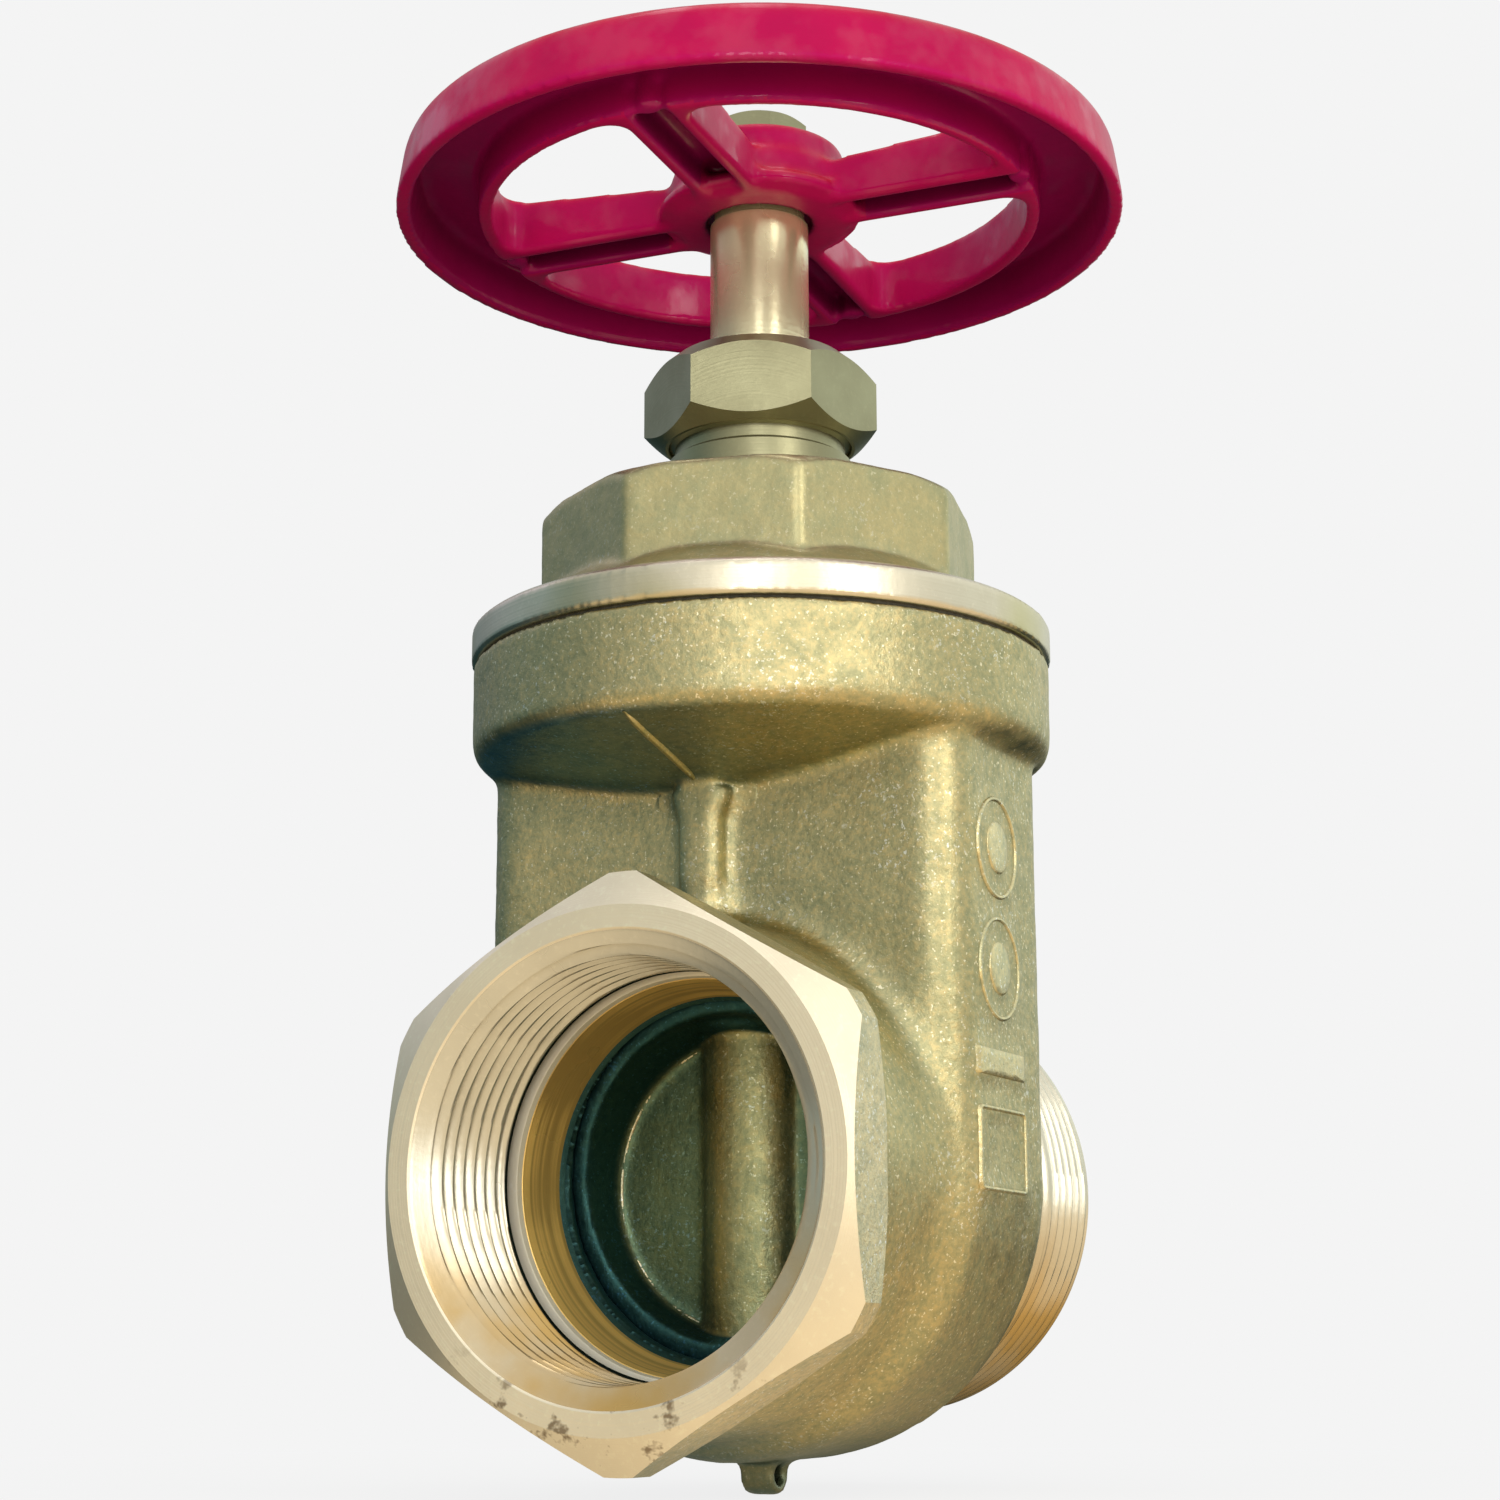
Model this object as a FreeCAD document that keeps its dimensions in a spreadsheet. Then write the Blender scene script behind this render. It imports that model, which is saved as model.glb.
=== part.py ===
"""Brass gate valve with a non-rising stem, as an assembly of separate pieces.

Frame: the origin is on the stem's axis, level with the lowest point of the cap-chain lug. +Z runs up
along the stem, the female inlet faces -Y, the male hose thread faces +Y, and +X is the side with the
cast marks. Each piece is drawn with the pipe's axis at height 0, and then lifted to its place.
Millimetres throughout. The valve is closed: the wedge sits between the two seats.
"""
import FreeCAD, Part
import math
import os
import re

import Sketcher

# Driving dimensions: alias, value, meaning. Radii are from the stem's or the pipe's axis, and heights
# are from the pipe's axis.
SIZES = [
    ("overlap", 1.0, "how far a shape reaches into the solid under it, or a cut past what it removes"),
    ("turning_room", 2.0, "how far a turned cut reaches outside the corners that it removes"),
    ("cutter_skin", 0.1, "how far a thread cutter stands clear of the crests"),
    ("first_groove", 0.8, "distance of a thread's first groove from the thread's end, in pitches"),
    ("slab_half_width", 46.2, "flat-sided body, half width along X and radius of its round bottom"),
    ("slab_half_depth", 20.6, "flat-sided body, half depth along Y"),
    ("slab_corner", 8.0, "rounding of the flat-sided body's outline edges"),
    ("slab_top", 80.0, "top of the flat-sided body, inside the collar"),
    ("collar_radius", 51.5, "round collar that takes the bonnet"),
    ("collar_apex", 60.8, "height where the collar's conical underside meets the axis"),
    ("collar_bottom", 74.0, "height of the collar's lower edge"),
    ("collar_top", 91.0, "top face of the collar"),
    ("collar_edge", 3.0, "rounding of the collar's lower edge"),
    ("collar_bore", 44.0, "threaded bore for the bonnet, crest radius"),
    ("collar_bore_depth", 15.0, "depth of the bore for the bonnet"),
    ("inlet_face", 53.5, "distance of the inlet face from the stem axis"),
    ("hex_corner", 48.6, "inlet hexagon, corner radius before its corners are turned"),
    ("hex_turned_radius", 47.2, "radius that the hexagon's corners are turned to"),
    ("hex_back", 41.0, "distance of the hexagon's back from the stem axis"),
    ("hex_face_radius", 41.2, "radius of the turned inlet face"),
    ("hex_turned_depth", 3.9, "axial length of the turned corner chamfer"),
    ("hex_back_bevel", 3.0, "axial length of the bevel on the back of the corners"),
    ("hex_back_radius", 42.5, "radius of the hexagon's turned back"),
    ("boss_front_radius", 41.3, "round boss behind the hexagon, front"),
    ("boss_root_radius", 42.6, "round boss where it meets the flat-sided body"),
    ("boss_back", 28.0, "distance of the boss's end on the outlet side"),
    ("inlet_entry", 37.4, "countersink of the inlet thread"),
    ("inlet_entry_depth", 3.6, "depth of the countersink"),
    ("inlet_crest", 33.4, "inlet thread, crest radius"),
    ("inlet_thread_depth", 2.3, "inlet thread, depth of each groove"),
    ("inlet_pitch", 3.175, "inlet thread pitch, 8 per inch"),
    ("inlet_turns", 6, "number of grooves in the inlet thread"),
    ("inlet_relief", 36.4, "undercut at the end of the inlet thread"),
    ("inlet_relief_start", 29.6, "undercut, outer end"),
    ("inlet_relief_end", 27.2, "undercut, inner end"),
    ("land_radius", 32.9, "turned land between the undercut and the seat"),
    ("port_radius", 30.0, "waterway through the seats"),
    ("port_entry", 30.8, "waterway where the land meets the seat's lip"),
    ("seat_lip", 2.0, "length of the waterway at each seat"),
    ("bore_end", 5.0, "distance of the pipe bores' inner ends from the stem axis"),
    ("outlet_end", 57.4, "distance of the outlet's end from the stem axis"),
    ("outlet_major", 38.97, "outlet hose thread, major radius"),
    ("outlet_thread_depth", 2.2, "outlet hose thread, depth of each groove"),
    ("outlet_pitch", 3.387, "outlet hose thread pitch, 7.5 per inch"),
    ("outlet_turns", 6, "number of grooves in the outlet thread"),
    ("outlet_lead_in", 1.5, "chamfer at the end of the outlet thread"),
    ("outlet_foot", 1.0, "step at the inner end of the outlet thread"),
    ("outlet_neck", 36.2, "plain neck behind the outlet thread"),
    ("outlet_neck_start", 31.0, "neck, inner end"),
    ("outlet_thread_start", 34.6, "outlet thread, inner end"),
    ("outlet_mouth", 32.2, "outlet bore at its end"),
    ("outlet_throat", 31.6, "outlet bore where its flare begins"),
    ("outlet_flare", 4.0, "length of that flare"),
    ("thread_flank", 0.577, "half width of a thread groove for each unit of its depth"),
    ("chamber_half_width", 39.8, "wedge chamber, half width along X"),
    ("chamber_half_depth", 17.0, "wedge chamber, half depth along Y"),
    ("seat_outer", 36.6, "raised seat, outer radius"),
    ("seat_half_gap", 13.0, "half distance between the seats at the pipe axis"),
    ("seat_cut", 18.0, "depth of the cut that faces each seat, past the stem axis at the top"),
    ("seat_cut_radius", 38.2, "radius of that cut"),
    ("seat_angle", 5.0, "slope of each seat plane, in degrees"),
    ("guide_half_width", 2.0, "guide ribs in the chamber, half width along Y"),
    ("guide_inner", 36.4, "guide ribs, distance of their inner face"),
    ("guide_bottom", -10.0, "guide ribs, lower end"),
    ("guide_top", 74.0, "guide ribs, upper end"),
    ("rib_half_width", 4.2, "vertical rib on the inlet side, half width"),
    ("rib_depth", 4.6, "rib's height above the flat-sided body"),
    ("rib_edge", 2.5, "rounding of the rib's outer edges"),
    ("rib_top", 67.5, "rib's upper end"),
    ("rib_bottom", 34.0, "rib's lower end, inside the boss"),
    ("lug_half_length", 3.1, "cap-chain lug, half length along X"),
    ("lug_radius", 3.4, "cap-chain lug, outer radius"),
    ("lug_centre", 48.3, "cap-chain lug, distance of its hole below the pipe axis"),
    ("lug_root_height", 6.0, "how far the lug's root reaches up from its hole"),
    ("lug_hole", 1.7, "hole for the cap chain"),
    ("mark_height", 0.5, "height of the plain cast marks"),
    ("mark_place", -4.0, "Y of the centre line of the cast marks"),
    ("mark_ring", 8.8, "cast ring marks, outer radius"),
    ("mark_dot", 4.6, "disc inside each ring, radius"),
    ("mark_upper", 54.5, "height of the upper ring's centre"),
    ("mark_lower", 34.0, "height of the lower ring's centre"),
    ("mark_bar_bottom", 15.8, "cast bar, lower edge"),
    ("mark_bar_top", 20.4, "cast bar, upper edge"),
    ("mark_frame_centre", 4.0, "height of the cast frame's centre"),
    ("mark_line", 0.9, "width of a cast line"),
    ("mark_frame_half_width", 10.2, "cast frame, half width"),
    ("mark_frame_half_height", 7.0, "cast frame, half height"),
    ("gasket_outer", 50.6, "bonnet gasket, outer radius"),
    ("gasket_thick", 0.5, "bonnet gasket thickness"),
    ("gasket_gap", 0.2, "clearance between a gasket and the edge beside it"),
    ("thread_gap", 0.05, "radial clearance in a screwed joint"),
    ("flange_radius", 51.9, "bonnet flange"),
    ("flange_edge", 97.2, "bonnet flange, height of its vertical edge"),
    ("flange_top", 98.2, "bonnet flange, top face"),
    ("flange_bevel", 1.4, "width of the bevel on the flange's edge"),
    ("shoulder_foot", 45.0, "foot of the conical shoulder under the octagon"),
    ("shoulder_radius", 38.2, "top of the conical shoulder"),
    ("shoulder_top", 104.0, "height of the shoulder's top"),
    ("octagon_corner", 40.1, "bonnet octagon, corner radius"),
    ("octagon_turn", 36.3, "angle of the octagon's first corner"),
    ("octagon_top", 120.4, "top face of the bonnet"),
    ("octagon_top_radius", 37.2, "turned edge of the bonnet's top face"),
    ("octagon_chamfer", 2.2, "height of that turned edge"),
    ("skirt_bottom", 76.5, "lower end of the bonnet's threaded skirt"),
    ("skirt_bore", 40.2, "bore of the skirt"),
    ("skirt_bore_top", 90.5, "upper end of that bore"),
    ("dome_radius", 31.5, "room for the raised wedge inside the octagon"),
    ("dome_top", 103.5, "height of that room"),
    ("dome_cone", 2.5, "height of the cone above that room"),
    ("nut_room_radius", 13.6, "room for the raised wedge's nut"),
    ("nut_room_top", 109.6, "height of that room"),
    ("bonnet_floor", 113.0, "seat of the stem's lower thrust washer"),
    ("bonnet_thread", 15.0, "threaded bore for the stuffing box"),
    ("box_gasket", 0.6, "stuffing box gasket thickness"),
    ("box_spigot_bottom", 113.7, "lower end of the stuffing box"),
    ("neck_radius", 16.8, "stuffing box neck, thread radius"),
    ("neck_top", 146.0, "top of the neck"),
    ("neck_bevel", 1.0, "bevel at the top of the neck"),
    ("neck_pitch", 1.5, "pitch of the neck's thread"),
    ("neck_band_top", 130.4, "top of the plain band below the packing nut"),
    ("neck_relief", 15.6, "radius of the relief above that band"),
    ("neck_relief_slope", 0.8, "height of the slope at each end of the relief"),
    ("neck_relief_top", 134.2, "upper end of the relief, inside the nut"),
    ("neck_thread_start", 1.6, "distance of the neck's first groove from the relief"),
    ("neck_thread_depth", 0.8, "depth of the neck's thread"),
    ("neck_groove_half", 0.5, "half width of each groove at its mouth"),
    ("neck_turns", 6, "number of grooves on the neck"),
    ("collar_room", 12.6, "recess for the stem's collar"),
    ("collar_room_top", 118.6, "top of that recess"),
    ("packing_floor", 124.6, "bottom of the packing chamber"),
    ("packing_bore", 13.2, "packing chamber radius"),
    ("packing_washer_thick", 1.2, "thickness of the washer under the packing"),
    ("packing_height", 4.1, "height of each packing ring"),
    ("packing_gap", 0.02, "clearance between the packing and the stem"),
    ("gland_step", 1.2, "bevel and reduced top of the gland"),
    ("nut_corner", 21.5, "packing nut, corner radius"),
    ("nut_turn", 21.8, "angle of the packing nut's first corner"),
    ("nut_bottom", 133.6, "packing nut, lower end"),
    ("nut_lower_edge", 136.8, "packing nut, lower end of its corners"),
    ("nut_upper_edge", 145.6, "packing nut, upper end of its corners"),
    ("nut_top", 150.2, "packing nut, top face"),
    ("nut_face_radius", 15.9, "packing nut, radius of the turned top face"),
    ("nut_foot_radius", 17.4, "packing nut, radius of the turned lower face"),
    ("nut_hole", 9.45, "hole for the stem in the packing nut"),
    ("nut_web", 146.7, "underside of the packing nut's web"),
    ("stem_radius", 9.15, "polished stem"),
    ("stem_gap", 0.07, "radial clearance round the stem"),
    ("stem_tip", 30.0, "lower end of the stem"),
    ("stem_thread", 7.5, "stem's trapezoidal thread, major radius"),
    ("stem_thread_depth", 2.0, "depth of the stem's thread"),
    ("stem_lead", 5.0, "lead of the stem's left-hand thread"),
    ("stem_thread_top", 106.0, "upper end of the stem's thread"),
    ("stem_step", 1.0, "length of each small step above the thread"),
    ("stem_relief", 6.1, "radius of the thread's relief"),
    ("stem_tip_bevel", 1.5, "bevel at the stem's lower end"),
    ("stem_first_groove", 3.0, "distance of the first groove from the stem's lower end"),
    ("stem_groove_mouth", 0.3, "half width of a groove at its mouth, in leads"),
    ("stem_groove_root", 0.2, "half width of a groove at its root, in leads"),
    ("stem_turns", 15, "number of grooves on the stem"),
    ("stem_journal", 8.23, "stem in the bonnet's floor"),
    ("stem_collar", 12.4, "stem's thrust collar"),
    ("thrust_washer", 0.8, "thickness of each thrust washer"),
    ("stem_lip", 177.2, "start of the turned lip under the handwheel"),
    ("stem_lip_radius", 8.4, "radius of the turned lip"),
    ("stem_lip_edge", 0.6, "bevel down to the lip"),
    ("stem_shoulder", 180.0, "shoulder that carries the handwheel"),
    ("square_half", 5.6, "half width of the square drive"),
    ("square_top", 190.8, "upper end of the square drive"),
    ("stem_end_radius", 5.0, "threaded end for the handwheel nut"),
    ("stem_end", 198.6, "upper end of the stem"),
    ("stem_end_bevel", 0.8, "bevel at the stem's upper end"),
    ("wedge_radius", 36.0, "wedge disc"),
    ("wedge_gap", 0.05, "clearance between the wedge and each seat plane"),
    ("facing_radius", 44.0, "radius of the cut that faces the wedge"),
    ("wedge_ear", 38.2, "wedge ears, half width along X"),
    ("wedge_ear_inner", 30.0, "wedge ears, inner face, inside the disc's rim"),
    ("wedge_ear_half_depth", 4.8, "wedge ears, half depth along Y"),
    ("wedge_ear_top", 24.0, "wedge ears, upper end"),
    ("wedge_slot_inner", 35.6, "guide slots, distance of their floor"),
    ("wedge_slot_half_width", 2.4, "guide slots, half width"),
    ("wedge_web", 5.0, "half thickness of the web between the recesses"),
    ("recess_mouth", 28.0, "recess radius at the seating face"),
    ("recess_floor", 25.2, "recess radius at the web"),
    ("wedge_tube", 10.2, "tube that houses the stem"),
    ("wedge_tube_bore", 8.0, "bore of the tube"),
    ("wedge_tube_bottom", -30.0, "lower end of the tube, inside the rim"),
    ("wedge_nut_radius", 12.0, "threaded boss at the top of the wedge"),
    ("wedge_nut_bottom", 30.0, "lower end of the wedge's thread"),
    ("wedge_nut_root", 26.0, "lower end of the threaded boss, inside the tube"),
    ("wedge_nut_top", 43.5, "top of the threaded boss"),
    ("wheel_bottom", 177.6, "handwheel, lower edge of the rim and of the walls"),
    ("rim_crown", 189.4, "handwheel, top of the rim"),
    ("rim_crown_inner", 59.5, "inner radius of the rim's crown"),
    ("rim_inner_top", 188.6, "handwheel, top of the rim beside the openings"),
    ("wheel_top", 186.0, "handwheel, top of the spokes at the hub"),
    ("wheel_radius", 67.7, "handwheel, rim radius at its lower edge"),
    ("wheel_top_radius", 66.0, "handwheel, rim radius at the top"),
    ("wheel_wall", 2.6, "wall thickness of the hollow rim and spokes"),
    ("opening_outer", 49.8, "outer radius of the openings"),
    ("opening_inner", 16.6, "inner radius of the openings"),
    ("opening_corner", 3.6, "corner radius of the openings"),
    ("spoke_half_width", 6.0, "half width of a spoke"),
    ("spoke_turn", 5.0, "angle of the first spoke"),
    ("spoke_count", 4.0, "number of spokes"),
    ("wheel_edge", 3.0, "rounding of the rim's top edge"),
    ("pillar_radius", 2.2, "pillar in the hollow at each spoke's end"),
    ("pillar_place", 50.6, "distance of the pillars from the axis"),
    ("pillar_inset", 0.8, "distance of the pillars' lower ends above the walls"),
    ("hub_bottom", 178.6, "underside of the hub"),
    ("hub_disc_radius", 18.8, "disc under the hub"),
    ("hub_disc_top", 181.2, "top of that disc"),
    ("hub_radius", 15.9, "hub"),
    ("hub_top", 191.7, "top of the hub"),
    ("hub_bevel", 1.0, "bevel round the top of the hub"),
    ("hub_counterbore", 9.9, "counterbore round the stem's shoulder"),
    ("fastener_washer", 1.2, "thickness of the handwheel washer"),
    ("fastener_washer_radius", 9.8, "handwheel washer, outer radius"),
    ("fastener_corner", 9.24, "handwheel nut, corner radius"),
    ("fastener_height", 4.6, "handwheel nut, height"),
    ("fastener_turn", 10.0, "angle of the handwheel nut's first corner"),
    ("fastener_bevel_width", 1.3, "handwheel nut, width of the turned corners"),
    ("fastener_bevel_height", 0.8, "handwheel nut, height of the turned corners"),
    ("fastener_gap", 0.3, "clearance between the washer and the stem's end"),
]
CELL_COLUMNS = ("A", "B", "C")
PIPE_HEIGHT = "lug_centre + lug_radius"

doc = FreeCAD.newDocument("gate_valve")
sheet = doc.addObject("Spreadsheet::Sheet", "Sizes")
for row, (alias, value, meaning) in enumerate(SIZES, start=1):
    sheet.set(CELL_COLUMNS[0] + str(row), alias)
    sheet.set(CELL_COLUMNS[1] + str(row), str(value))
    sheet.set(CELL_COLUMNS[2] + str(row), meaning)
    sheet.setAlias(CELL_COLUMNS[1] + str(row), alias)
doc.recompute()

ALIASES = {alias for alias, value, meaning in SIZES}
BODIES = []


def bound(text):
    """The expression with each alias pointed at the sheet."""
    return re.sub(r"[a-z_]+", lambda m: "Sizes." + m.group() if m.group() in ALIASES else m.group(), text)


def number(text):
    """The present value of an expression of aliases."""
    return float(sheet.evalExpression(bound(text)))


def new_body(label):
    """An empty body that becomes one piece of the valve."""
    body = doc.addObject("PartDesign::Body", label)
    body.Label = label
    body.setExpression("Placement.Base.z", bound(PIPE_HEIGHT))
    BODIES.append(body)
    return body


def origin_feature(body, role):
    """One of the body's own origin planes or axes."""
    return next(f for f in body.Origin.OriginFeatures if f.Role == role)


def new_sketch(body, name, role, offset):
    """A sketch on an origin plane, moved along its normal by an expression."""
    sketch = body.newObject("Sketcher::SketchObject", name)
    sketch.AttachmentSupport = [(origin_feature(body, role), "")]
    sketch.MapMode = "FlatFace"
    if offset:
        sketch.setExpression("AttachmentOffset.Base.z", bound(offset))
    return sketch


def pin_point(sketch, geometry, point, x, y):
    """Hold one point of a sketch at two expressions."""
    for kind, text in (("DistanceX", x), ("DistanceY", y)):
        index = sketch.addConstraint(Sketcher.Constraint(kind, -1, 1, geometry, point, number(text)))
        sketch.setExpression("Constraints[%d]" % index, bound(text))


def add_outline(sketch, points):
    """Add a closed straight-sided outline whose corners are pairs of expressions."""
    first = sketch.GeometryCount
    corners = [FreeCAD.Vector(number(x), number(y), 0) for x, y in points]
    for start, end in zip(corners, corners[1:] + corners[:1]):
        sketch.addGeometry(Part.LineSegment(start, end), False)
    for i in range(len(points)):
        following = first + (i + 1) % len(points)
        sketch.addConstraint(Sketcher.Constraint("Coincident", first + i, 2, following, 1))
    for i, (x, y) in enumerate(points):
        pin_point(sketch, first + i, 1, x, y)


def add_circle(sketch, x, y, radius):
    """Add a circle whose centre and radius are expressions."""
    index = sketch.GeometryCount
    centre = FreeCAD.Vector(number(x), number(y), 0)
    sketch.addGeometry(Part.Circle(centre, FreeCAD.Vector(0, 0, 1), number(radius)), False)
    pin_point(sketch, index, 3, x, y)
    size = sketch.addConstraint(Sketcher.Constraint("Radius", index, number(radius)))
    sketch.setExpression("Constraints[%d]" % size, bound(radius))


def outline(body, name, role, points, offset=""):
    """A sketch that holds one closed straight-sided outline."""
    sketch = new_sketch(body, name, role, offset)
    add_outline(sketch, points)
    return sketch


def circles(body, name, role, rounds, offset=""):
    """A sketch of circles, each given as x, y and radius expressions."""
    sketch = new_sketch(body, name, role, offset)
    for x, y, radius in rounds:
        add_circle(sketch, x, y, radius)
    return sketch


def box_points(x_low, x_high, y_low, y_high):
    """Corners of a rectangle between four expressions."""
    return [(x_low, y_low), (x_high, y_low), (x_high, y_high), (x_low, y_high)]


def polygon_points(sides, corner, turn):
    """Corners of a regular polygon round the origin."""
    step = 360 // sides
    angles = [f"{turn} + {step * i}" for i in range(sides)]
    return [(f"{corner} * cos({angle})", f"{corner} * sin({angle})") for angle in angles]


def u_outline(body, name, half_width, top):
    """A sketch on the XZ plane: a half circle below the pipe axis and straight sides up to a flat top."""
    sketch = new_sketch(body, name, "XZ_Plane", "")
    w, h = number(half_width), number(top)
    up, left, right = FreeCAD.Vector(0, 0, 1), FreeCAD.Vector(-w, 0, 0), FreeCAD.Vector(w, 0, 0)
    top_left, top_right = FreeCAD.Vector(-w, h, 0), FreeCAD.Vector(w, h, 0)
    bottom = Part.Circle(FreeCAD.Vector(0, 0, 0), up, w)
    sketch.addGeometry(Part.ArcOfCircle(bottom, math.pi, 2 * math.pi), False)
    for start, end in ((right, top_right), (top_right, top_left), (top_left, left)):
        sketch.addGeometry(Part.LineSegment(start, end), False)
    for one, other in ((0, 1), (1, 2), (2, 3), (3, 0)):
        sketch.addConstraint(Sketcher.Constraint("Coincident", one, 2, other, 1))
    sketch.addConstraint(Sketcher.Constraint("Coincident", 0, 3, -1, 1))
    pin_point(sketch, 1, 1, half_width, "0")
    pin_point(sketch, 2, 1, half_width, top)
    pin_point(sketch, 3, 1, "-" + half_width, top)
    sketch.addConstraint(Sketcher.Constraint("PointOnObject", 3, 2, -1))
    return sketch


def sloped_circle(body, name, side, distance, radius):
    """A circle on a seat's sloping plane: side 1 is the inlet's, at -Y, and side -1 the outlet's."""
    sketch = circles(body, name, "XZ_Plane", [("0", "0", radius)])
    slope = FreeCAD.Rotation(FreeCAD.Vector(side, 0, 0), number("seat_angle"))
    sketch.AttachmentOffset = FreeCAD.Placement(FreeCAD.Vector(0, 0, side * number(distance)), slope)
    sketch.setExpression("AttachmentOffset.Base.z", bound("%d * (%s)" % (side, distance)))
    sketch.setExpression("AttachmentOffset.Rotation.Angle", bound("seat_angle"))
    return sketch


def revolve(body, name, points, about="stem", cut=False):
    """Turn an outline about the stem axis, as radius and height, or the pipe axis, as Y and radius."""
    role, axis = ("XZ_Plane", "V_Axis") if about == "stem" else ("YZ_Plane", "H_Axis")
    sketch = outline(body, name + "_outline", role, points)
    feature = body.newObject("PartDesign::Groove" if cut else "PartDesign::Revolution", name)
    feature.Profile = sketch
    feature.ReferenceAxis = (sketch, [axis])
    feature.Angle = 360
    return feature


def extrude(body, name, sketch, length, side="One side", backwards=False, cut=False):
    """Pad a sketch, or pocket it: a pocket runs against the sketch's normal unless backwards is set."""
    feature = body.newObject("PartDesign::Pocket" if cut else "PartDesign::Pad", name)
    feature.Profile = sketch
    feature.SideType = side
    feature.Reversed = backwards
    feature.setExpression("Length", bound(length))
    return feature


def repeat_along(body, feature, role, pitch, count):
    """Copy a feature along an origin axis."""
    pattern = body.newObject("PartDesign::LinearPattern", feature.Name + "_row")
    pattern.Originals = [feature]
    pattern.Direction = (origin_feature(body, role), [""])
    pattern.setExpression("Occurrences", bound(count))
    pattern.setExpression("Length", bound(f"{pitch} * ({count} - 1)"))
    body.Tip = pattern
    return pattern


def repeat_round(body, feature, count):
    """Copy a feature round the stem axis."""
    pattern = body.newObject("PartDesign::PolarPattern", feature.Name + "_ring")
    pattern.Originals = [feature]
    pattern.Axis = (origin_feature(body, "Z_Axis"), [""])
    pattern.Angle = 360
    pattern.Occurrences = count
    body.Tip = pattern
    return pattern


def round_edges(body, name, radius, wanted):
    """Fillet the edges of the body's present shape that a test picks."""
    doc.recompute()
    base = body.Tip
    names = ["Edge%d" % (i + 1) for i, edge in enumerate(base.Shape.Edges) if wanted(edge)]
    if not names:
        raise RuntimeError(name + " found no edges")
    fillet = body.newObject("PartDesign::Fillet", name)
    fillet.Base = (base, names)
    fillet.setExpression("Radius", bound(radius))
    return fillet


def at(value, text):
    """Whether a coordinate equals an expression."""
    return abs(value - number(text)) < 0.01


def ring(body, name, inner, outer, bottom, top):
    """A plain ring round the stem axis."""
    return revolve(body, name, box_points(inner, outer, bottom, top))


# ---------------------------------------------------------------- valve body
def add_body_outside(body):
    """Flat-sided body, collar, inlet boss and hexagon, outlet and rib."""
    slab = u_outline(body, "slab_outline", "slab_half_width", "slab_top")
    extrude(body, "slab", slab, "2 * slab_half_depth", side="Symmetric")
    round_edges(body, "slab_edges", "slab_corner",
                lambda e: all(at(abs(v.Y), "slab_half_depth") for v in e.Vertexes)
                and not all(at(v.Z, "slab_top") for v in e.Vertexes))
    revolve(body, "collar", [("0", "collar_apex"), ("collar_radius", "collar_bottom"),
                             ("collar_radius", "collar_top"), ("0", "collar_top")])
    round_edges(body, "collar_lower_edge", "collar_edge",
                lambda e: isinstance(e.Curve, Part.Circle) and at(e.Curve.Radius, "collar_radius")
                and at(e.Curve.Center.z, "collar_bottom"))
    revolve(body, "inlet_boss", [("0", "0"), ("0", "boss_root_radius"),
                                 ("-slab_half_depth", "boss_root_radius"),
                                 ("-hex_back", "boss_front_radius"), ("-hex_back", "0")],
            about="pipe")
    front = outline(body, "inlet_hexagon_outline", "XZ_Plane", polygon_points(6, "hex_corner", "30"),
                    "inlet_face")
    extrude(body, "inlet_hexagon", front, "inlet_face - hex_back", backwards=True)
    trim_hexagon(body)
    revolve(body, "outlet", [("0", "0"), ("0", "boss_root_radius"), ("slab_half_depth", "boss_root_radius"),
                             ("boss_back", "boss_front_radius"),
                             ("outlet_neck_start", "outlet_neck"),
                             ("outlet_thread_start - outlet_foot", "outlet_neck"),
                             ("outlet_thread_start", "outlet_major - outlet_foot"),
                             ("outlet_thread_start + outlet_foot", "outlet_major"),
                             ("outlet_end - outlet_lead_in", "outlet_major"),
                             ("outlet_end", "outlet_major - outlet_lead_in"),
                             ("outlet_end", "0")], about="pipe")
    rib = outline(body, "rib_outline", "XZ_Plane",
                  box_points("-rib_half_width", "rib_half_width", "rib_bottom", "rib_top"),
                  "slab_half_depth - overlap")
    extrude(body, "rib", rib, "rib_depth + overlap")
    round_edges(body, "rib_edges", "rib_edge",
                lambda e: all(at(v.Y, "-slab_half_depth - rib_depth") for v in e.Vertexes)
                and abs(e.Vertexes[0].Z - e.Vertexes[-1].Z) > 1)


def trim_hexagon(body):
    """Turn the hexagon's corners: a cone at the face, a cylinder round the middle and a bevel at the back."""
    outside = "hex_corner + turning_room"
    revolve(body, "hexagon_turning", [("-inlet_face", "hex_face_radius"),
                                      ("-inlet_face + hex_turned_depth", "hex_turned_radius"),
                                      ("-hex_back - hex_back_bevel", "hex_turned_radius"),
                                      ("-hex_back", "hex_back_radius"), ("-hex_back", outside),
                                      ("-inlet_face - overlap", outside),
                                      ("-inlet_face - overlap", "hex_face_radius")],
            about="pipe", cut=True)


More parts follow.
